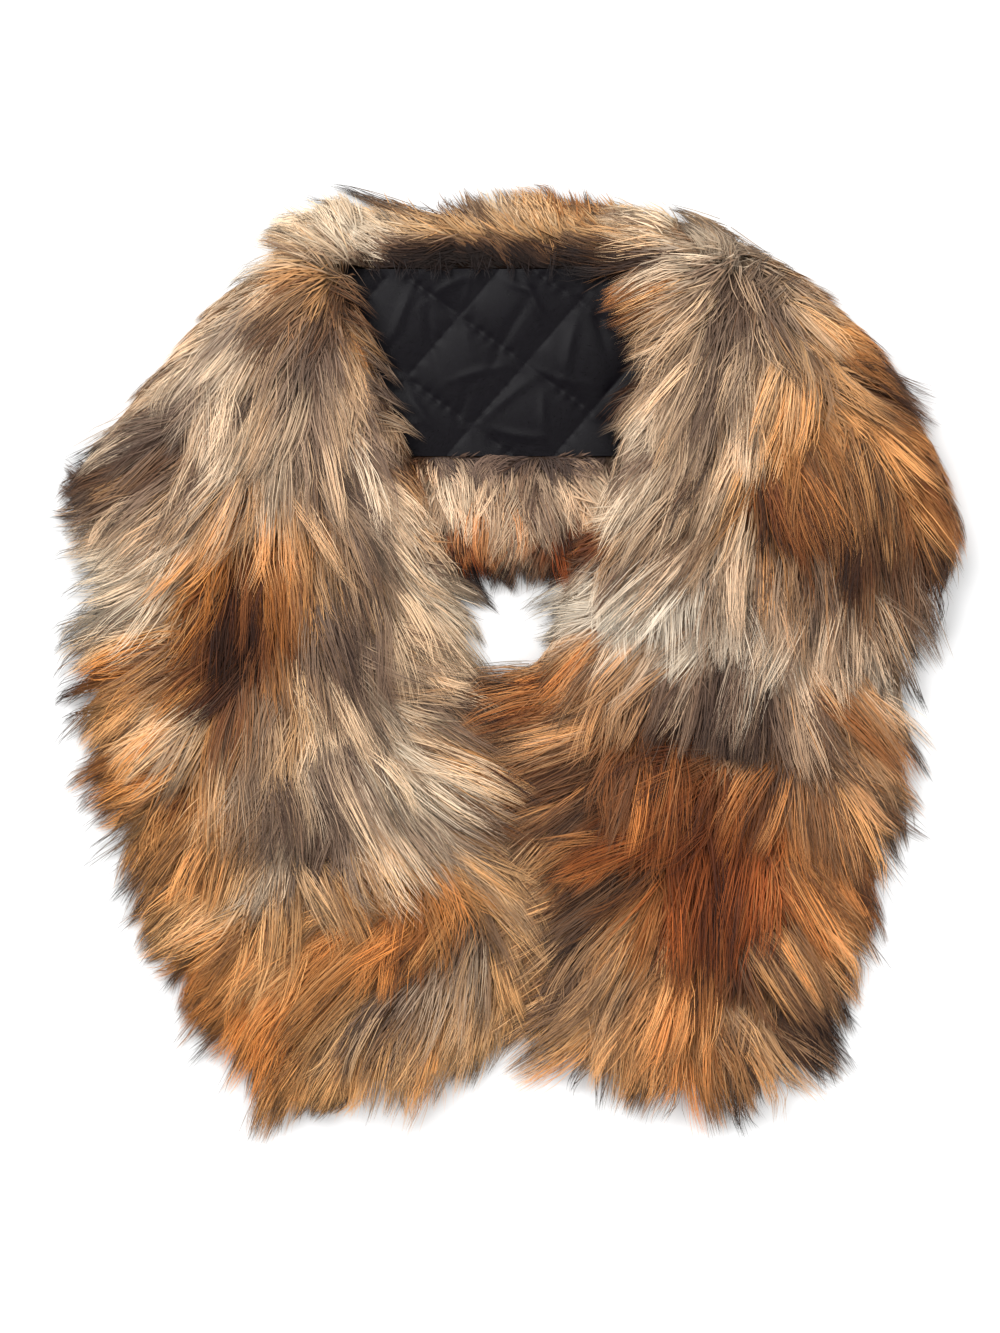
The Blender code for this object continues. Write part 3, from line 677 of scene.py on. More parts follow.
# the few colours that a piece's hairs are dyed in, so that its map can hold each once
def dyeLots(colours):
    brightest = np.maximum(colours.max(1, keepdims=True), pile["palest"])
    seen = np.sqrt(colours * np.minimum(1, pile["palest"] / brightest))
    lots = seen[rng.choice(len(seen), pile["colours"], replace=False)]
    for _ in range(3):
        parts = np.array_split(seen, 40)
        lot = np.concatenate([((part[:, None] - lots) ** 2).sum(-1).argmin(1) for part in parts])
        total = np.stack([np.bincount(lot, seen[:, k], len(lots)) for k in range(3)], 1)
        number = np.bincount(lot, minlength=len(lots))
        lots = np.where(number[:, None] > 0, total / np.maximum(number, 1)[:, None], lots)
    return lot, lots**2


# how sooty a hair is from root to tip: plain, dark at the tip, or dark for its outer half
hairKinds = (
    ((0, 1), (0, 0)),
    ((0, 0.4, 0.78, 1), (0, 0.06, 0.75, 0.96)),
    ((0, 0.25, 0.78, 1), (0.1, 0.35, 0.96, 1)),
)


def shadeAlong(colour, kind, t):
    soot = palette[list(furColours).index("soot")]
    # painted shade: each hair is darkened to about a third of its colour at the root, where shade falls deep
    # in the pile, back to its own colour by its middle
    root = np.interp(t, (0, 0.5, 1), (0.34, 1, 1.04))[None, :, None] * colour[:, None]
    toSoot = np.stack([np.interp(t, places, amounts) for places, amounts in hairKinds])
    mix = toSoot[kind][..., None]
    return root * (1 - mix) + soot * mix


# puts a mesh into the scene as a piece of the wrap
def addPiece(name, mesh, material):
    made = bpy.data.objects.new(name, mesh)
    bpy.context.scene.collection.objects.link(made)
    made.data.materials.append(material)
    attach(made, "root")
    return made


def addColours(mesh, colours):
    layer = mesh.color_attributes.new("pileColour", "FLOAT_COLOR", "POINT")
    layer.data.foreach_set("color", colours.astype(np.float32).ravel())


# each hair is a flat strand: pairs of points from its root, and one at its tip
def hairPiece(name, parts):
    parts = [p for p in parts if len(p["points"])]
    lot, lots = dyeLots(np.concatenate([p["colour"] for p in parts]))
    positions, normals, colours, places, sizes, corners = [], [], [], [], [], []
    first = total = 0
    for p in parts:
        points, t = p["points"], p["t"]
        drawnIn(points)
        count, k = len(points), len(t)
        facing = p["normal"][:, None]
        along = unit(np.gradient(points, axis=1))
        across = unit(np.cross(along, facing))
        roll = rng.normal(0, 0.6, count)[:, None, None]
        flat = across * np.cos(roll) + np.cross(across, along) * np.sin(roll)
        half = (p["width"][:, None] * np.interp(t, stations, pile["shape"]) / 2)[..., None] * flat
        verts = np.empty((count, 2 * k - 1, 3), np.float32)
        verts[:, 0:-1:2], verts[:, 1:-1:2] = (points - half)[:, :-1], (points + half)[:, :-1]
        verts[:, -1] = points[:, -1]
        verts[..., 2] = np.maximum(verts[..., 2], 0.4 * mm)
        number = np.arange(2 * k - 1)
        at = np.minimum(number // 2, k - 1)
        side = np.where(number == 2 * k - 2, 0, np.where(number % 2, 1, -1))
        quads = [[2 * n, 2 * n + 1, 2 * n + 3, 2 * n + 2] for n in range(k - 2)]
        pattern = np.concatenate(quads + [[2 * k - 4, 2 * k - 3, 2 * k - 2]])
        mine = lot[first : first + count]
        cell = mine + pile["colours"] * p["kind"]
        colour = np.ones((count, 2 * k - 1, 4), np.float32)
        colour[..., :3] = shadeAlong(lots[mine], p["kind"], t)[:, at]
        u = ((cell % pile["atlas"] + 0.5)[:, None] + side * 0.26) / pile["atlas"]
        v = ((cell // pile["atlas"])[:, None] + 0.06 + 0.88 * t[at]) / pile["atlas"]
        places.append(np.stack([u, v], -1)[:, pattern].reshape(-1, 2))
        facing = unit(facing - along * dot(facing, along))
        shown = unit(0.86 * facing + 0.14 * np.cross(flat, along) + 0.1 * np.array([0, 0, 1.0]))
        positions.append(verts.reshape(-1, 3))
        normals.append(shown[:, at].reshape(-1, 3))
        colours.append(colour.reshape(-1, 4))
        sizes.append(np.tile([4] * (k - 2) + [3], count))
        corners.append((total + np.arange(count)[:, None] * (2 * k - 1) + pattern).ravel())
        first, total = first + count, total + count * (2 * k - 1)
    sizes, corners = np.concatenate(sizes), np.concatenate(corners)
    mesh = bpy.data.meshes.new(name)
    mesh.vertices.add(total)
    mesh.vertices.foreach_set("co", np.concatenate(positions).ravel())
    mesh.loops.add(len(corners))
    mesh.loops.foreach_set("vertex_index", corners)
    mesh.polygons.add(len(sizes))
    mesh.polygons.foreach_set("loop_start", np.concatenate([[0], np.cumsum(sizes)[:-1]]))
    mesh.polygons.foreach_set("loop_total", sizes)
    mesh.update(calc_edges=True)
    mesh.shade_smooth()
    addColours(mesh, np.concatenate(colours))
    # hairs of one dye lot share a strip of the map
    places = np.concatenate(places).astype(np.float32)
    mesh.uv_layers.new(name="OFBake", do_init=False).uv.foreach_set("vector", places.ravel())
    mesh.normals_split_custom_set_from_vertices(np.concatenate(normals))
    made = addPiece(name, mesh, pileMaterial)
    print(name, [len(p["points"]) for p in parts], "hairs,", int((sizes - 2).sum()), "triangles")
    return made


def gridPiece(name, grid, material):
    rows, columns = grid.shape[:2]
    number = np.arange(rows * columns).reshape(rows, columns)
    quads = [number[:-1, :-1], number[1:, :-1], number[1:, 1:], number[:-1, 1:]]
    mesh = bpy.data.meshes.new(name)
    mesh.from_pydata(grid.reshape(-1, 3).tolist(), [], np.stack(quads, -1).reshape(-1, 4).tolist())
    mesh.shade_smooth()
    return addPiece(name, mesh, material)


# a pelt without its pile, in its place's colours at half brightness, the halving painted shade under the pile
def peltPiece(name, grid):
    made = gridPiece(name, grid, peltMaterial)
    flat = grid.reshape(-1, 3)
    colours = np.ones((len(flat), 4))
    # painted shade: halved, as the pelt lies in the pile's shade
    colours[:, :3] = np.exp(dyeAndShadowAt(flat[:, 0], flat[:, 1]) @ np.log(palette)) * 0.5
    addColours(made.data, colours)
    return made


def addNode(tree, kind, values=None):
    made = tree.nodes.new(kind)
    for name, value in (values or {}).items():
        made.inputs[name].default_value = value
    return made


# fine grain, for the wool's nap and the satin's weave
def makeGrainGroup():
    group = bpy.data.node_groups.new("fineGrain", "ShaderNodeTree")
    for name in ("Scale", "Detail", "Strength", "Distance"):
        group.interface.new_socket(name, in_out="INPUT", socket_type="NodeSocketFloat")
    group.interface.new_socket("Normal", in_out="OUTPUT", socket_type="NodeSocketVector")
    start, end = addNode(group, "NodeGroupInput"), addNode(group, "NodeGroupOutput")
    noise, bump = addNode(group, "ShaderNodeTexNoise"), addNode(group, "ShaderNodeBump")
    for node, names in ((noise, ("Scale", "Detail")), (bump, ("Strength", "Distance"))):
        for name in names:
            group.links.new(start.outputs[name], node.inputs[name])
    group.links.new(noise.outputs["Fac"], bump.inputs["Height"])
    group.links.new(bump.outputs["Normal"], end.inputs["Normal"])
    return group


grainGroup = makeGrainGroup()


def addGrain(tree, shader, values):
    grain = tree.nodes.new("ShaderNodeGroup")
    grain.node_tree = grainGroup
    for name, value in values.items():
        grain.inputs[name].default_value = value
    tree.links.new(grain.outputs["Normal"], shader.inputs["Normal"])


def newMaterial(name, roughness, specular):
    made = bpy.data.materials.new(name)
    made.use_nodes = True
    shader = made.node_tree.nodes["Principled BSDF"]
    shader.inputs["Roughness"].default_value = roughness
    shader.inputs["Specular IOR Level"].default_value = specular
    return made, made.node_tree, shader


def makeFurMaterial(name, roughness, specular, nap=None):
    made, tree, shader = newMaterial(name, roughness, specular)
    dye = tree.nodes.new("ShaderNodeAttribute")
    dye.attribute_name = "pileColour"
    tree.links.new(dye.outputs["Color"], shader.inputs["Base Color"])
    if nap:
        addGrain(tree, shader, nap)
    return made


satinLooks = {
    "dark": (5, 3, 6),
    "pale": (14, 11, 17),
    "tintFrom": (0.3, 0.75),
    "roughness": (0.27, 0.42),
    "wear": {"Scale": 55, "Detail": 3},
    "weave": {"Scale": 1400, "Detail": 1, "Strength": 0.3, "Distance": 0.0002},
}


def makeSatinMaterial():
    made, tree, shader = newMaterial("quiltedSatin", 0.45, 0.1)
    wear = addNode(tree, "ShaderNodeTexNoise", satinLooks["wear"])
    tint = addNode(tree, "ShaderNodeValToRGB")
    for stop, place, colour in zip(tint.color_ramp.elements, satinLooks["tintFrom"], ("dark", "pale")):
        stop.position = place
        stop.color = (*fromSrgb(satinLooks[colour]), 1)
    low, high = satinLooks["roughness"]
    gloss = {"From Min": 0.3, "From Max": 0.7, "To Min": low, "To Max": high}
    gloss = addNode(tree, "ShaderNodeMapRange", gloss)
    tree.links.new(wear.outputs["Fac"], tint.inputs["Fac"])
    tree.links.new(wear.outputs["Fac"], gloss.inputs["Value"])
    tree.links.new(tint.outputs["Color"], shader.inputs["Base Color"])
    tree.links.new(gloss.outputs["Result"], shader.inputs["Roughness"])
    addGrain(tree, shader, satinLooks["weave"])
    return made


woolNap = {"Scale": 420, "Detail": 4, "Strength": 0.8, "Distance": 0.002}
pileMaterial = makeFurMaterial("dyedPile", 0.55, 0.18)
peltMaterial = makeFurMaterial("woollyUnderfur", 0.95, 0.05, woolNap)
satinMaterial = makeSatinMaterial()

# what the two fronts share
frontPelt = {
    "rows": 110,
    "columns": 48,
    "cutEdge": 16 * mm,  # from the solid's side in to the cloth's edge, where the strip's edge lies
    "foldEdge": 5 * mm,  # the same along the folds
    "innerEdge": 10 * mm,
    "meeting": 1 * mm,  # where the fronts meet
    "meetsBetween": (-196, -16),
    "neckInset": 13 * mm,
    "hemRise": 95 * mm,
    "neckFall": 40 * mm,  # from the neck's line down to the fold's top
    "round": 13 * mm,
    "lift": 1.2 * mm,
    "thinnest": 4 * mm,
    "underside": 0.5 * mm,
    "undersideColumns": [0, 8, 16, 24, 32, 40, 47],
    "cutFade": 24 * mm,
    "apartFade": 20 * mm,
    "hemFade": 30 * mm,
    "cornerFade": (22 * mm, 50 * mm),
    # heights on the plan, and reaches
    "liningNotchAt": (180, 26 * mm),
    "neckNotchAt": (222, 20 * mm),
    "foldNotchAt": (26, 20 * mm),
    "neckGap": (-2, 22),  # the pile is shorter around it
    "gapReach": 32 * mm,
    "gapShorter": 0.5,
}
# combs hold places on the plan and the way the pile lies there, in degrees, 0 along +X
leftFront = {
    "node": "fur_left_front",
    "pelt": "leftFrontPelt",
    "underside": "leftFrontUnderside",
    "piles": [("leftShoulderPile", 0.08, 1), ("leftChestPile", -0.07, 0.08), ("leftHemPile", -1, -0.07)],
    "side": -1,
    "cutEdgeBelow": 96,  # on the plan, the outer side is the strip's cut edge below it and a fold above
    "hemInset": 24 * mm,
    "hemGap": 44 * mm,
    "liningNotch": 0,  # beside the lining's upper half
    "cornerShare": 2.4,  # of the outer inset, at the hem's corner
    "neckNotch": 20 * mm,  # beside the neck's corner
    "foldNotch": 0,  # at the fold's lower end
    "neckCorner": (-98, 213),  # past it, the neck border's hair lies over the fold
    "wisps": 40,
    "comb": [
        (-88, 254, 155), (-110, 248, 182), (-126, 238, 212), (-140, 218, 230), (-157, 192, 228),
        (-112, 228, 178), (-84, 237, 130), (-96, 240, 142), (-84, 218, 122), (-92, 224, 130),
        (-101, 212, 185), (-94, 200, 258), (-86, 199, 272), (-86, 181, 274), (-80, 160, 286),
        (-112, 206, 222), (-112, 184, 240), (-181, 154, 224), (-209, 121, 210), (-222, 88, 190),
        (-165, 116, 228), (-110, 154, 258), (-62, 121, 296), (-88, 98, 280), (-214, 55, 196),
        (-192, 22, 210), (-143, 22, 252), (-99, 33, 288), (-40, 44, 300), (-225, -16, 206),
        (-187, -33, 224), (-132, -44, 264), (-77, -11, 308), (-55, -55, 312), (-33, -88, 310),
        (-209, -77, 220), (-165, -104, 230), (-110, -104, 262), (-11, -55, 300), (0, -104, 288),
        (-181, -148, 222), (-159, -192, 226), (-110, -160, 216), (-55, -154, 218), (-33, -182, 232),
        (-82, -209, 232), (-121, -231, 246), (-71, -242, 264), (-52, -212, 256), (-32, -214, 274),
        (-22, -196, 268), (6, -160, 262), (2, -190, 258),
    ],
    "darkTufts": [
        (-250, 96, 196, 56, 34), (-244, 109, 202, 50, 30), (-246, 86, 200, 48, 26), (-234, 55, 200, 42, 24),
        (-242, 6, 203, 50, 30), (-258, -26, 208, 58, 44), (-249, -36, 212, 46, 20), (-236, -71, 220, 50, 30),
        (-227, -84, 225, 42, 20), (-212, -108, 226, 42, 24), (-214, -126, 227, 46, 24),
        (-220, -137, 226, 50, 28), (-209, -148, 230, 46, 24), (-190, -187, 233, 46, 28),
        (-186, -165, 230, 42, 20), (-151, -231, 238, 46, 26), (-168, -208, 236, 42, 20),
        (-116, -258, 240, 30, 16), (-131, 237, 190, 46, 40), (-98, 266, 160, 56, 30), (-86, 262, 156, 46, 26),
        (-112, 258, 166, 40, 18),
    ],
    # over the lining's side edge
    "paleTufts": [
        (-66, 188, 318, 30, 34), (-62, 176, 328, 26, 26), (-57, 160, 322, 32, 40), (-52, 148, 312, 26, 28),
        (-48, 136, 326, 28, 34), (-41, 120, 312, 26, 34), (-70, 200, 330, 22, 24),
    ],
}
rightFront = {
    "node": "fur_right_front",
    "pelt": "rightFrontPelt",
    "underside": "rightFrontUnderside",
    "piles": [("rightShoulderPile", 0.08, 1), ("rightChestPile", -0.07, 0.08), ("rightHemPile", -1, -0.07)],
    "side": 1,
    "cutEdgeBelow": 66,
    "hemInset": 34 * mm,
    "hemGap": 4 * mm,
    "liningNotch": 9 * mm,
    "cornerShare": 1.4,
    "neckNotch": 5 * mm,
    "foldNotch": 12 * mm,
    "neckCorner": (90, 216),
    "wisps": 22,
    "comb": [
        (82, 242, 150), (99, 240, 156), (88, 226, 172), (110, 222, 186), (80, 208, 206), (110, 204, 212),
        (112, 242, 140), (119, 232, 196), (124, 222, 232), (133, 234, 300), (144, 224, 322), (121, 198, 258),
        (136, 198, 285), (66, 181, 232), (99, 181, 220), (74, 162, 230), (66, 126, 230), (55, 88, 236),
        (110, 160, 240), (143, 154, 275), (170, 205, 330), (182, 178, 322), (209, 154, 318), (231, 121, 302),
        (192, 115, 300), (226, 66, 286), (244, 50, 270), (154, 99, 282), (110, 99, 250), (82, 55, 234),
        (44, 33, 224), (33, 11, 222), (77, 11, 230), (121, 11, 256), (165, 11, 280), (220, 11, 282),
        (16, -22, 202), (55, -33, 212), (3, -38, 202), (104, -44, 232), (154, -44, 278), (209, -44, 300),
        (33, -77, 214), (77, -88, 226), (121, -99, 262), (165, -104, 292), (209, -110, 300),
        (33, -132, 232), (22, -165, 246), (77, -154, 246), (121, -160, 272), (165, -160, 294),
        (192, -160, 302), (44, -204, 244), (88, -214, 262), (132, -226, 284), (165, -220, 300),
        (55, -236, 242), (132, -252, 290),
    ],
    "darkTufts": [
        (253, 52, 312, 38, 34), (246, 40, 298, 30, 22), (242, -68, 302, 52, 30), (237, -8, 306, 42, 26),
        (238, -30, 303, 44, 28), (232, -56, 308, 46, 20), (223, -117, 284, 50, 28), (226, -108, 290, 42, 20),
        (209, -157, 288, 46, 26), (217, -151, 300, 40, 12), (192, -189, 284, 46, 26),
        (184, -222, 280, 46, 24),
        (165, -244, 284, 42, 22), (136, -268, 292, 46, 40), (143, -263, 308, 36, 20), (38, -244, 262, 36, 18),
        (55, -254, 268, 40, 18), (77, -252, 262, 32, 20), (-13, -13, 178, 44, 40), (-8, -8, 166, 38, 30),
        (-16, -5, 186, 32, 18),
    ],
    # over the lining's side edge, then over the shoulder's top
    "paleTufts": [
        (68, 198, 208, 24, 30), (70, 178, 218, 22, 22), (64, 158, 212, 26, 28), (56, 140, 216, 28, 34),
        (54, 124, 222, 26, 28),
        (104, 246, 142, 26, 44), (112, 244, 128, 24, 50), (120, 240, 105, 20, 54), (128, 236, 70, 19, 54),
        (136, 232, 40, 20, 54), (144, 227, 12, 24, 50), (152, 222, 350, 26, 44), (124, 239, 88, 16, 40),
        (132, 235, 52, 16, 40), (94, 251, 152, 28, 50), (98, 246, 150, 26, 56), (102, 242, 148, 24, 56),
        (97, 240, 156, 24, 50), (108, 243, 138, 22, 50), (150, 224, 40, 26, 44), (159, 218, 48, 24, 44),
        (168, 212, 36, 26, 44), (178, 204, 44, 24, 40), (188, 196, 36, 24, 36),
    ],
}


# 0 along the folds and 1 where the strip's cut edge lies
def cutEdgeShare(front, y):
    return ease((planY(front["cutEdgeBelow"]) - y) / frontPelt["cutFade"])


def frontInsets(front, ys):
    cut = cutEdgeShare(front, ys)
    outer = frontPelt["foldEdge"] + (frontPelt["cutEdge"] - frontPelt["foldEdge"]) * cut
    lowest, highest = (planY(v) for v in frontPelt["meetsBetween"])
    fade = frontPelt["apartFade"]
    apart = np.maximum(ease((ys - highest) / fade), ease((lowest - ys) / fade))
    inner = frontPelt["meeting"] + (frontPelt["innerEdge"] - frontPelt["meeting"]) * apart
    inner += front["hemGap"] * ease((lowest - ys) / frontPelt["hemFade"])
    inner += front["liningNotch"] * bell(ys, *frontPelt["liningNotchAt"])
    share = front["cornerShare"]
    fadeFrom, fade = frontPelt["cornerFade"]
    nearHem = share + (1 - share) * ease((ys - ys[0] - fadeFrom) / fade)
    atNeck = front["neckNotch"] * bell(ys, *frontPelt["neckNotchAt"])
    atFold = front["foldNotch"] * bell(ys, *frontPelt["foldNotchAt"])
    return outer * nearHem + atNeck + atFold, inner


# a solid's two side lines, without the tips of the locks that stand out of them
def trimmedEdges(node, places, width, axis=1):
    lines = []
    for line, pick, pickBack in zip(sliceEdges(node, places, axis), (np.max, np.min), (np.min, np.max)):
        lines.append(smoothed(rangeOver(rangeOver(line, width, pick), width, pickBack), 4))
    return lines


def frontGrid(front):
    low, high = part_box(front["node"])
    ys = np.linspace(low.y + 1 * mm, high.y - 1 * mm, 220)
    left, right = trimmedEdges(front["node"], ys, 6)
    outer, inner = frontInsets(front, ys)
    leftInset, rightInset = (outer, inner) if front["side"] < 0 else (inner, outer)
    left, right = left + leftInset, right - rightInset
    thin = np.maximum(left + 5 * mm - right, 0) / 2
    left, right = left - thin, right + thin
    c = np.linspace(0, 1, frontPelt["columns"])
    across = 0.55 * (0.5 - 0.5 * np.cos(math.pi * c)) + 0.45 * c

    def crossing(y):
        leftX = np.interp(y, ys, left)
        return leftX + (np.interp(y, ys, right) - leftX) * across

    # the hem follows the solid's lower side and the neck its upper side
    xs = np.linspace(low.x + 1 * mm, high.x - 1 * mm, 120)
    hem, neck = trimmedEdges(front["node"], xs, 5, axis=0)
    end = np.full(len(c), low.y + front["hemInset"])
    start = np.full(len(c), high.y - frontPelt["neckInset"])
    for _ in range(8):
        wanted = np.clip(np.interp(crossing(end), xs, hem), low.y, low.y + frontPelt["hemRise"])
        end = smoothed(0.5 * end + 0.5 * (wanted + front["hemInset"]), 2)
        wanted = np.clip(np.interp(crossing(start), xs, neck), high.y - frontPelt["neckFall"], high.y)
        start = smoothed(0.5 * start + 0.5 * (wanted - frontPelt["neckInset"]), 2)
    t = np.linspace(0, 1, frontPelt["rows"])[:, None]
    y = start + (end - start)[None] * t
    x = crossing(y)
    top = heightsOver(front["node"], x, y, 0.02)
    under = heightsOver(front["node"], x, y, 0, fromAbove=False)
    fromEdge = np.minimum(x - np.interp(y, ys, left), np.interp(y, ys, right) - x)
    fromEdge = np.minimum(fromEdge, np.minimum(y - end, (start - y) * 1.6))
    base = under + frontPelt["lift"]
    crown = softened(np.maximum(top - heightMap["pile"], base + frontPelt["thinnest"]), 3)
    return np.stack([x, y, base + (crown - base) * rounded(fromEdge / frontPelt["round"])], -1), fromEdge


# thin dark wisps at random along a cut edge
def edgeWisps(front, edge):
    onCut = edge[cutEdgeShare(front, edge[:, 1]) > 0.6]
    wisps = []
    for base in onCut[rng.integers(0, len(onCut), front["wisps"])]:
        way = turned(combAt(front["comb"], base[:1], base[1:2]), rng.normal(0, 8))[0]
        length = rng.uniform(38, 62)
        x, y = base[:2] / mm + planMiddle + way * length * 0.88
        wisps.append((x, y, math.degrees(math.atan2(way[1], way[0])), length, int(rng.integers(5, 15))))
    return wisps


def chosen(part, mask):
    return {key: (value if key == "t" else value[mask]) for key, value in part.items()}


def dressFront(front):
    grid, fromEdge = frontGrid(front)
    pelt = peltPiece(front["pelt"], grid)
    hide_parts(front["node"])
    cornerX, cornerY = onPlan(*front["neckCorner"])
    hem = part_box(front["node"])[0].y
    gapX, gapY = onPlan(*frontPelt["neckGap"])
    fromGap = np.hypot(grid[..., 0] - gapX, grid[..., 1] - gapY) / frontPelt["gapReach"]

    def keep(base):
        return (base[:, 1] < cornerY) | ((base[:, 0] - cornerX) * front["side"] > 0)

    def darkAt(base):
        aboveHem = ease((base[:, 1] - hem - 0.04) / 0.04)
        return cutEdgeShare(front, base[:, 1]) * (0.25 + 0.75 * aboveHem)

    short = 1 - frontPelt["gapShorter"] * np.exp(-(fromGap**2))
    parts = growPile(grid, fromEdge, short, front["comb"], keep, darkAt)
    parts.append(growTufts(front["darkTufts"]))
    parts.append(growTufts(front["paleTufts"], kind=1))
    parts.append(growTufts(edgeWisps(front, grid[:, 0 if front["side"] < 0 else -1])))
    pieces = []
    for name, low, high in front["piles"]:
        masks = [(p["points"][:, 0, 1] >= low) & (p["points"][:, 0, 1] < high) for p in parts]
        pieces.append(hairPiece(name, [chosen(p, m) for p, m in zip(parts, masks)]))
    print(front["pelt"], "area", round(gridArea(grid).sum(), 4))
    # the lining's underside, flat on the surface
    flat = grid[:, frontPelt["undersideColumns"]].copy()
    flat[..., 2] = frontPelt["underside"]
    lining = gridPiece(front["underside"], flat, satinMaterial)
    return pelt, pieces


leftPelt, leftFur = dressFront(leftFront)
rightPelt, rightFur = dressFront(rightFront)

backPelt = {
    "columns": 90,
    "rows": 22,
    "lift": 1.0 * mm,
    "neckInset": 8 * mm,
    "innerInset": 13 * mm,
    "neckEnds": (-106, 98),
    "innerEnds": (-110, 116),
    "underNeck": (-92, 84),  # the flat back's ends at the neck side
    "pile": 11 * mm,
    "seamFoot": 14 * mm,
    "seamHair": 0.26,
    "foldRound": 2.6,
    "seamRound": 4,
    "upright": (1.5, 0.4),  # how far hair leaves the neck's and the inner border's slope for straight up
    "shownLining": (-72, 60),  # from x to x on the plan
    "comb": [
        (-60, 244, 160), (-30, 244, 155), (0, 244, 136), (22, 244, 106), (46, 244, 90), (64, 242, 112),
        (-70, 230, 144), (-45, 228, 150), (-15, 228, 158), (15, 228, 150), (45, 228, 140), (64, 226, 170),
        (-56, 217, 160), (-36, 216, 176), (-16, 216, 186), (6, 216, 168), (28, 216, 178), (48, 216, 164),
        (60, 217, 172), (-50, 114, 150), (-20, 114, 60), (10, 114, 125), (40, 114, 45), (65, 114, 140),
        (-50, 104, 262), (-20, 104, 268), (10, 104, 270), (40, 104, 272), (65, 104, 276), (-40, 85, 266),
        (0, 85, 270), (40, 85, 272), (-60, 62, 280), (-20, 62, 268), (20, 62, 270), (60, 62, 262),
    ],
    # on the border's top, then over the lining's upper edge
    "neckTufts": [
        (19, 258, 108, 28, 40), (9, 256, 124, 24, 26), (47, 263, 98, 32, 44), (55, 258, 72, 24, 26),
        (-55, 253, 158, 30, 30),
        (-66, 208, 292, 16, 16), (-56, 209, 258, 14, 14), (-47, 210, 286, 13, 12), (-37, 208, 262, 15, 16),
        (-27, 210, 280, 12, 12), (-16, 209, 254, 14, 14), (-5, 210, 284, 13, 12), (6, 208, 262, 15, 16),
        (17, 210, 290, 12, 12), (27, 209, 258, 14, 14), (38, 210, 276, 13, 12), (48, 208, 250, 15, 16),
        (58, 209, 272, 14, 14),
    ],
    "innerTufts": [
        (0, 26, 304, 38, 60), (9, 36, 300, 28, 44), (-9, 33, 290, 32, 44), (-2, 38, 296, 26, 36),
        (-24, 42, 262, 24, 22), (24, 44, 262, 22, 22),
    ],
}


# one turned border of the back: from the lining's edge over to the cloth's fold
def borderGrid(highEdge):
    low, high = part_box("fur_back")
    liningLow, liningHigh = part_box("lining_back")
    seam, fold, ends = liningLow.y, low.y + backPelt["innerInset"], backPelt["innerEnds"]
    if highEdge:
        seam, fold, ends = liningHigh.y, high.y - backPelt["neckInset"], backPelt["neckEnds"]
    x = np.linspace(planX(ends[0]), planX(ends[1]), backPelt["columns"])[None, :].repeat(backPelt["rows"], 0)
    t = np.linspace(0, 1, backPelt["rows"])[:, None]
    y = seam + (fold - seam) * (0.5 - 0.5 * np.cos(math.pi * t)) + 0 * x
    crown = softened(heightsOver("fur_back", x, y, 0.012) - backPelt["pile"], 2)
    seamFoot, foldFoot = backPelt["seamFoot"], backPelt["lift"]
    nearSeam = seamFoot + (np.maximum(crown, seamFoot) - seamFoot) * rounded(t * backPelt["seamRound"])
    nearFold = foldFoot + (np.maximum(crown, foldFoot) - foldFoot) * rounded((1 - t) * backPelt["foldRound"])
    z = np.where(t < 0.5, nearSeam, nearFold)
    short = backPelt["seamHair"] + (1 - backPelt["seamHair"]) * ease(np.abs(y - seam) / (15 * mm))
    if highEdge:  # its ends rise over the fronts' folds, with long hair
        z = softened(np.maximum(z, heightAt("rest", x, y) + 0.5 * mm), 2)
        leftEnd, rightEnd = (planX(v) for v in backPelt["shownLining"])
        short = np.maximum(short, ease(np.maximum(leftEnd - x, x - rightEnd) / (10 * mm)))
    return np.stack([x, y, z], -1), np.abs(y - fold), short


def dressBorder(name, highEdge, tufts):
    grid, fromEdge, short = borderGrid(highEdge)
    pelt = peltPiece(name + "Pelt", grid)
    parts = growPile(
        grid, fromEdge, short, backPelt["comb"] + leftFront["comb"] + rightFront["comb"],
        lambda base: heightAt("rest", base[:, 0], base[:, 1]) < base[:, 2] + 5 * mm,
        lambda base: np.full(len(base), 0.25),
        density=1.2, lengthScale=0.74, upright=backPelt["upright"][0 if highEdge else 1],
    )
    parts.append(growTufts(tufts))
    fur = hairPiece(name + "Pile", parts)
    print(name, "area", round(gridArea(grid).sum(), 4))
    return pelt, fur


neckPelt, neckFur = dressBorder("neckBorder", True, backPelt["neckTufts"])
innerPelt, innerFur = dressBorder("innerBorder", False, backPelt["innerTufts"])
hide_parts("fur_back")


# the back's own pelt, fur side down, between its turned borders
def makeBackPelt():
    low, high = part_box("fur_back")
    across, up = np.meshgrid(np.linspace(0, 1, 46), np.linspace(0, 1, 34))
    ends = []
    for inner, under in zip(backPelt["innerEnds"], backPelt["underNeck"]):
        ends.append(planX(inner) + (under - inner) * mm * up**2)
    x = ends[0] + (ends[1] - ends[0]) * across
    reach = high.y - low.y - backPelt["innerInset"] - backPelt["neckInset"]
    y = low.y + backPelt["innerInset"] + reach * up
    z = backPelt["lift"] + 0.4 * mm * (1 + np.sin(x * 90) * np.sin(y * 70 + 1))
    pelt = peltPiece("backPelt", np.stack([x, y, z], -1))


makeBackPelt()

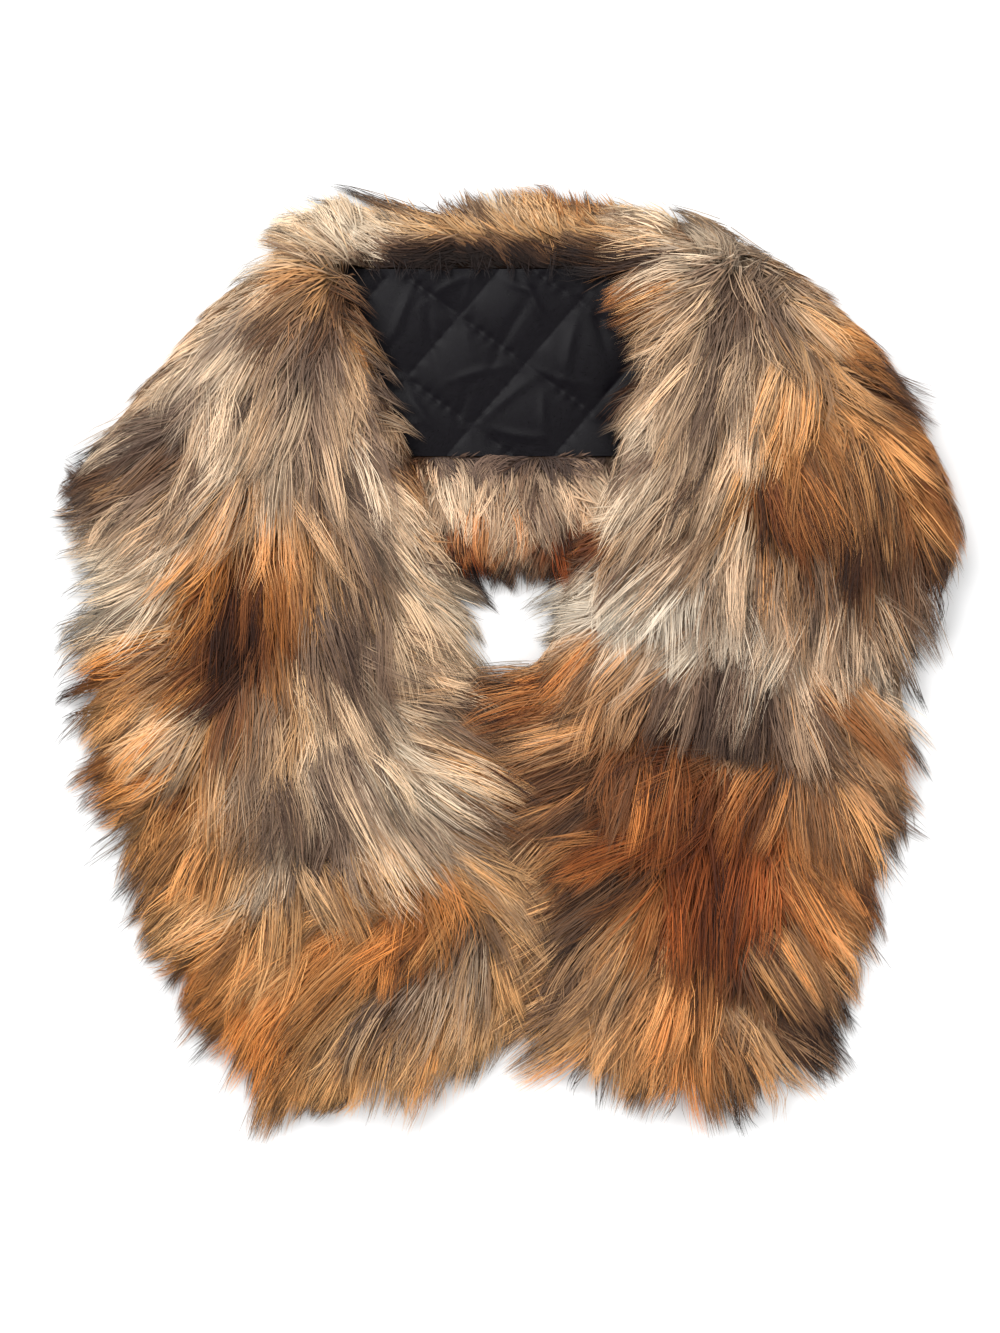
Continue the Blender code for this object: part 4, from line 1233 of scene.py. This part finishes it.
quilt = {
    "step": 1.1 * mm,
    "across": 66.0,
    "up": 61.0,
    "middle": (-19.0, 160.0),
    "turn": 6.5,
    "puff": 2.3 * mm,
    "pucker": 0.28 * mm,
    "wall": 1.6 * mm,
    "stitch": 2.3 * mm,
    "stitchPitch": 3.4 * mm,
    "thread": 0.5 * mm,
    "threadColour": (16, 14, 18),
    # x, y, angle, length, width and depth, in millimetres
    "creases": [
        (-55, 190, 70, 46, 6, 1.0), (-38, 175, 100, 40, 5, -0.9), (-18, 196, 84, 36, 6, 1.1),
        (4, 180, 62, 50, 6, -0.9), (20, 196, 118, 34, 5, 0.9), (38, 172, 80, 44, 6, 1.0),
        (55, 190, 96, 40, 6, -0.8), (-46, 140, 124, 36, 6, 1.0), (-22, 136, 78, 30, 5, -0.8),
        (2, 144, 40, 46, 6, 1.0), (24, 132, 98, 30, 5, 0.9), (44, 142, 130, 40, 6, -0.9),
        (-8, 160, 12, 40, 5, 0.7), (30, 156, 160, 34, 5, 0.7), (-64, 168, 60, 30, 5, -0.7),
        (-30, 206, 30, 30, 5, 0.8), (12, 206, 160, 30, 5, 0.8), (46, 204, 40, 26, 5, 0.7),
        (-60, 128, 20, 30, 5, 0.8), (10, 124, 170, 34, 5, 0.8),
    ],
}


def quiltHeight(x, y):
    along, across = alongAcross(x, y, quilt["middle"], quilt["turn"])
    a, b = along / (quilt["across"] * mm), across / (quilt["up"] * mm)
    p, q = np.abs(np.cos(math.pi * (a + b))), np.abs(np.cos(math.pi * (a - b)))
    puff = (p * q) ** 0.5 * (0.86 + 0.14 * np.sin(3.1 * a + 1) * np.sin(2.3 * b))
    # small puckers run off the stitch lines, uneven along them
    pucker = np.sin(31 * (a - b) + 3 * np.sin(5 * (a - b))) * np.exp(-7 * p)
    pucker += np.sin(28 * (a + b) + 3 * np.sin(4 * (a + b))) * np.exp(-7 * q)
    height = quilt["puff"] * puff + quilt["pucker"] * pucker
    for cx, cy, angle, long, wide, deep in quilt["creases"]:
        along, across = alongAcross(x, y, (cx, cy), angle)
        along = along / (long * mm / 2)
        across = (across + 2 * mm * along**2) / (wide * mm / 2)
        height += deep * mm * np.exp(-(along**2) * 1.3 - across**2) * (0.25 + 0.75 * puff)
    return height


# black thread along the quilting, one small closed body for each stitch
def makeStitches(low, high):
    material, _, shader = newMaterial("quiltingThread", 0.6, 0.2)
    shader.inputs["Base Color"].default_value = (*fromSrgb(quilt["threadColour"]), 1)
    mx, my = onPlan(*quilt["middle"])
    c, s = math.cos(math.radians(quilt["turn"])), math.sin(math.radians(quilt["turn"]))
    wide, tall = quilt["across"] * mm, quilt["up"] * mm
    step = quilt["stitchPitch"] / (0.5 * math.hypot(wide, tall))
    places = np.meshgrid(np.arange(-4, 5) + 0.5, np.arange(-4, 4, step), (1, -1))
    line, other, way = (v.ravel() for v in places)
    other = other + rng.uniform(-0.006, 0.006, line.size)
    dx, dy = (line + other) / 2 * wide, way * (line - other) / 2 * tall
    x, y = mx + dx * c - dy * s, my + dx * s + dy * c
    kept = (x > low.x + 6 * mm) & (x < high.x - 6 * mm) & (y > low.y + 3 * mm) & (y < high.y - 3 * mm)
    x, y, way = x[kept], y[kept], way[kept]
    run = unit(np.stack([wide * c + way * tall * s, wide * s - way * tall * c, 0 * x], 1))
    middle = np.stack([x, y, low.z + quilt["wall"] + quiltHeight(x, y) + 0.1 * mm], 1)
    aside = np.stack([-run[:, 1], run[:, 0], run[:, 2]], 1) * quilt["thread"] / 2
    up = np.array([0, 0, quilt["thread"] / 2])
    half = run * quilt["stitch"] / 2
    ends = [middle - half - up, middle + half - up]
    points = np.stack(ends + [middle + aside, middle - aside, middle + up, middle - up], 1)
    faces = [(1, 2, 4), (1, 4, 3), (1, 3, 5), (1, 5, 2), (0, 4, 2), (0, 3, 4), (0, 5, 3), (0, 2, 5)]
    faces = np.array(faces) + len(points[0]) * np.arange(len(points))[:, None, None]
    mesh = bpy.data.meshes.new("quiltingThread")
    mesh.from_pydata(points.reshape(-1, 3).tolist(), [], faces.reshape(-1, 3).tolist())
    mesh.shade_smooth()
    return addPiece("quiltingThread", mesh, material)


def makeLining():
    low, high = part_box("lining_back")
    xs = np.arange(low.x + 3 * mm, high.x - 3 * mm, quilt["step"])
    ys = np.arange(low.y + 0.3 * mm, high.y, quilt["step"])
    x, y = np.meshgrid(xs, ys)
    grid = np.stack([x, y, low.z + quilt["wall"] + quiltHeight(x, y)], -1)
    lining = gridPiece("quiltedLining", grid, satinMaterial)
    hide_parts("lining_back")
    thread = makeStitches(low, high)


makeLining()
print("lining made")

# floor, light and camera; each light has its place, size and power
studio = {
    "floorHalf": 4,
    "floorColour": (0.9, 0.9, 0.9, 1),
    "sky": 0.66,
    "lights": {"key": ((-0.7, 0.9, 1.5), 1.0, 30), "fill": ((1.2, -0.3, 1.3), 1.3, 10)},
    "middle": (0.0, -3.6),
    "lens": 100.0,
    "sensor": 36,
    "height": 733.0 * mm,  # of what the camera sees
    "at": 0.025,
}


def makeFloor():
    h = studio["floorHalf"]
    mesh = bpy.data.meshes.new("floor")
    mesh.from_pydata([(-h, -h, 0), (h, -h, 0), (h, h, 0), (-h, h, 0)], [], [(0, 1, 2, 3)])
    floor = bpy.data.objects.new("floor", mesh)
    bpy.context.scene.collection.objects.link(floor)
    made, _, shader = newMaterial("paleFloor", 0.9, 0.1)
    shader.inputs["Base Color"].default_value = studio["floorColour"]
    floor.data.materials.append(made)


def makeLight(name, place, size, power):
    light = bpy.data.lights.new(name, "AREA")
    light.shape = "DISK"
    light.size = size
    light.energy = power
    made = bpy.data.objects.new(name, light)
    made.location = place
    made.rotation_mode = "QUATERNION"
    made.rotation_quaternion = (-Vector(place)).to_track_quat("-Z", "Y")
    bpy.context.scene.collection.objects.link(made)


def makeCamera():
    camera = bpy.data.cameras.new("camera")
    camera.lens = studio["lens"]
    camera.sensor_width = studio["sensor"]
    made = bpy.data.objects.new("camera", camera)
    x, y = onPlan(*studio["middle"])
    made.location = (x, y, studio["at"] + studio["height"] * studio["lens"] / studio["sensor"])
    bpy.context.scene.collection.objects.link(made)
    bpy.context.scene.camera = made


makeFloor()
for name, (place, size, power) in studio["lights"].items():
    makeLight(name, place, size, power)
makeCamera()
world = bpy.data.worlds.new("studio")
world.use_nodes = True
world.node_tree.nodes["Background"].inputs["Color"].default_value = (1, 1, 1, 1)
world.node_tree.nodes["Background"].inputs["Strength"].default_value = studio["sky"]
bpy.context.scene.world = world
bpy.context.scene.view_settings.view_transform = "Standard"
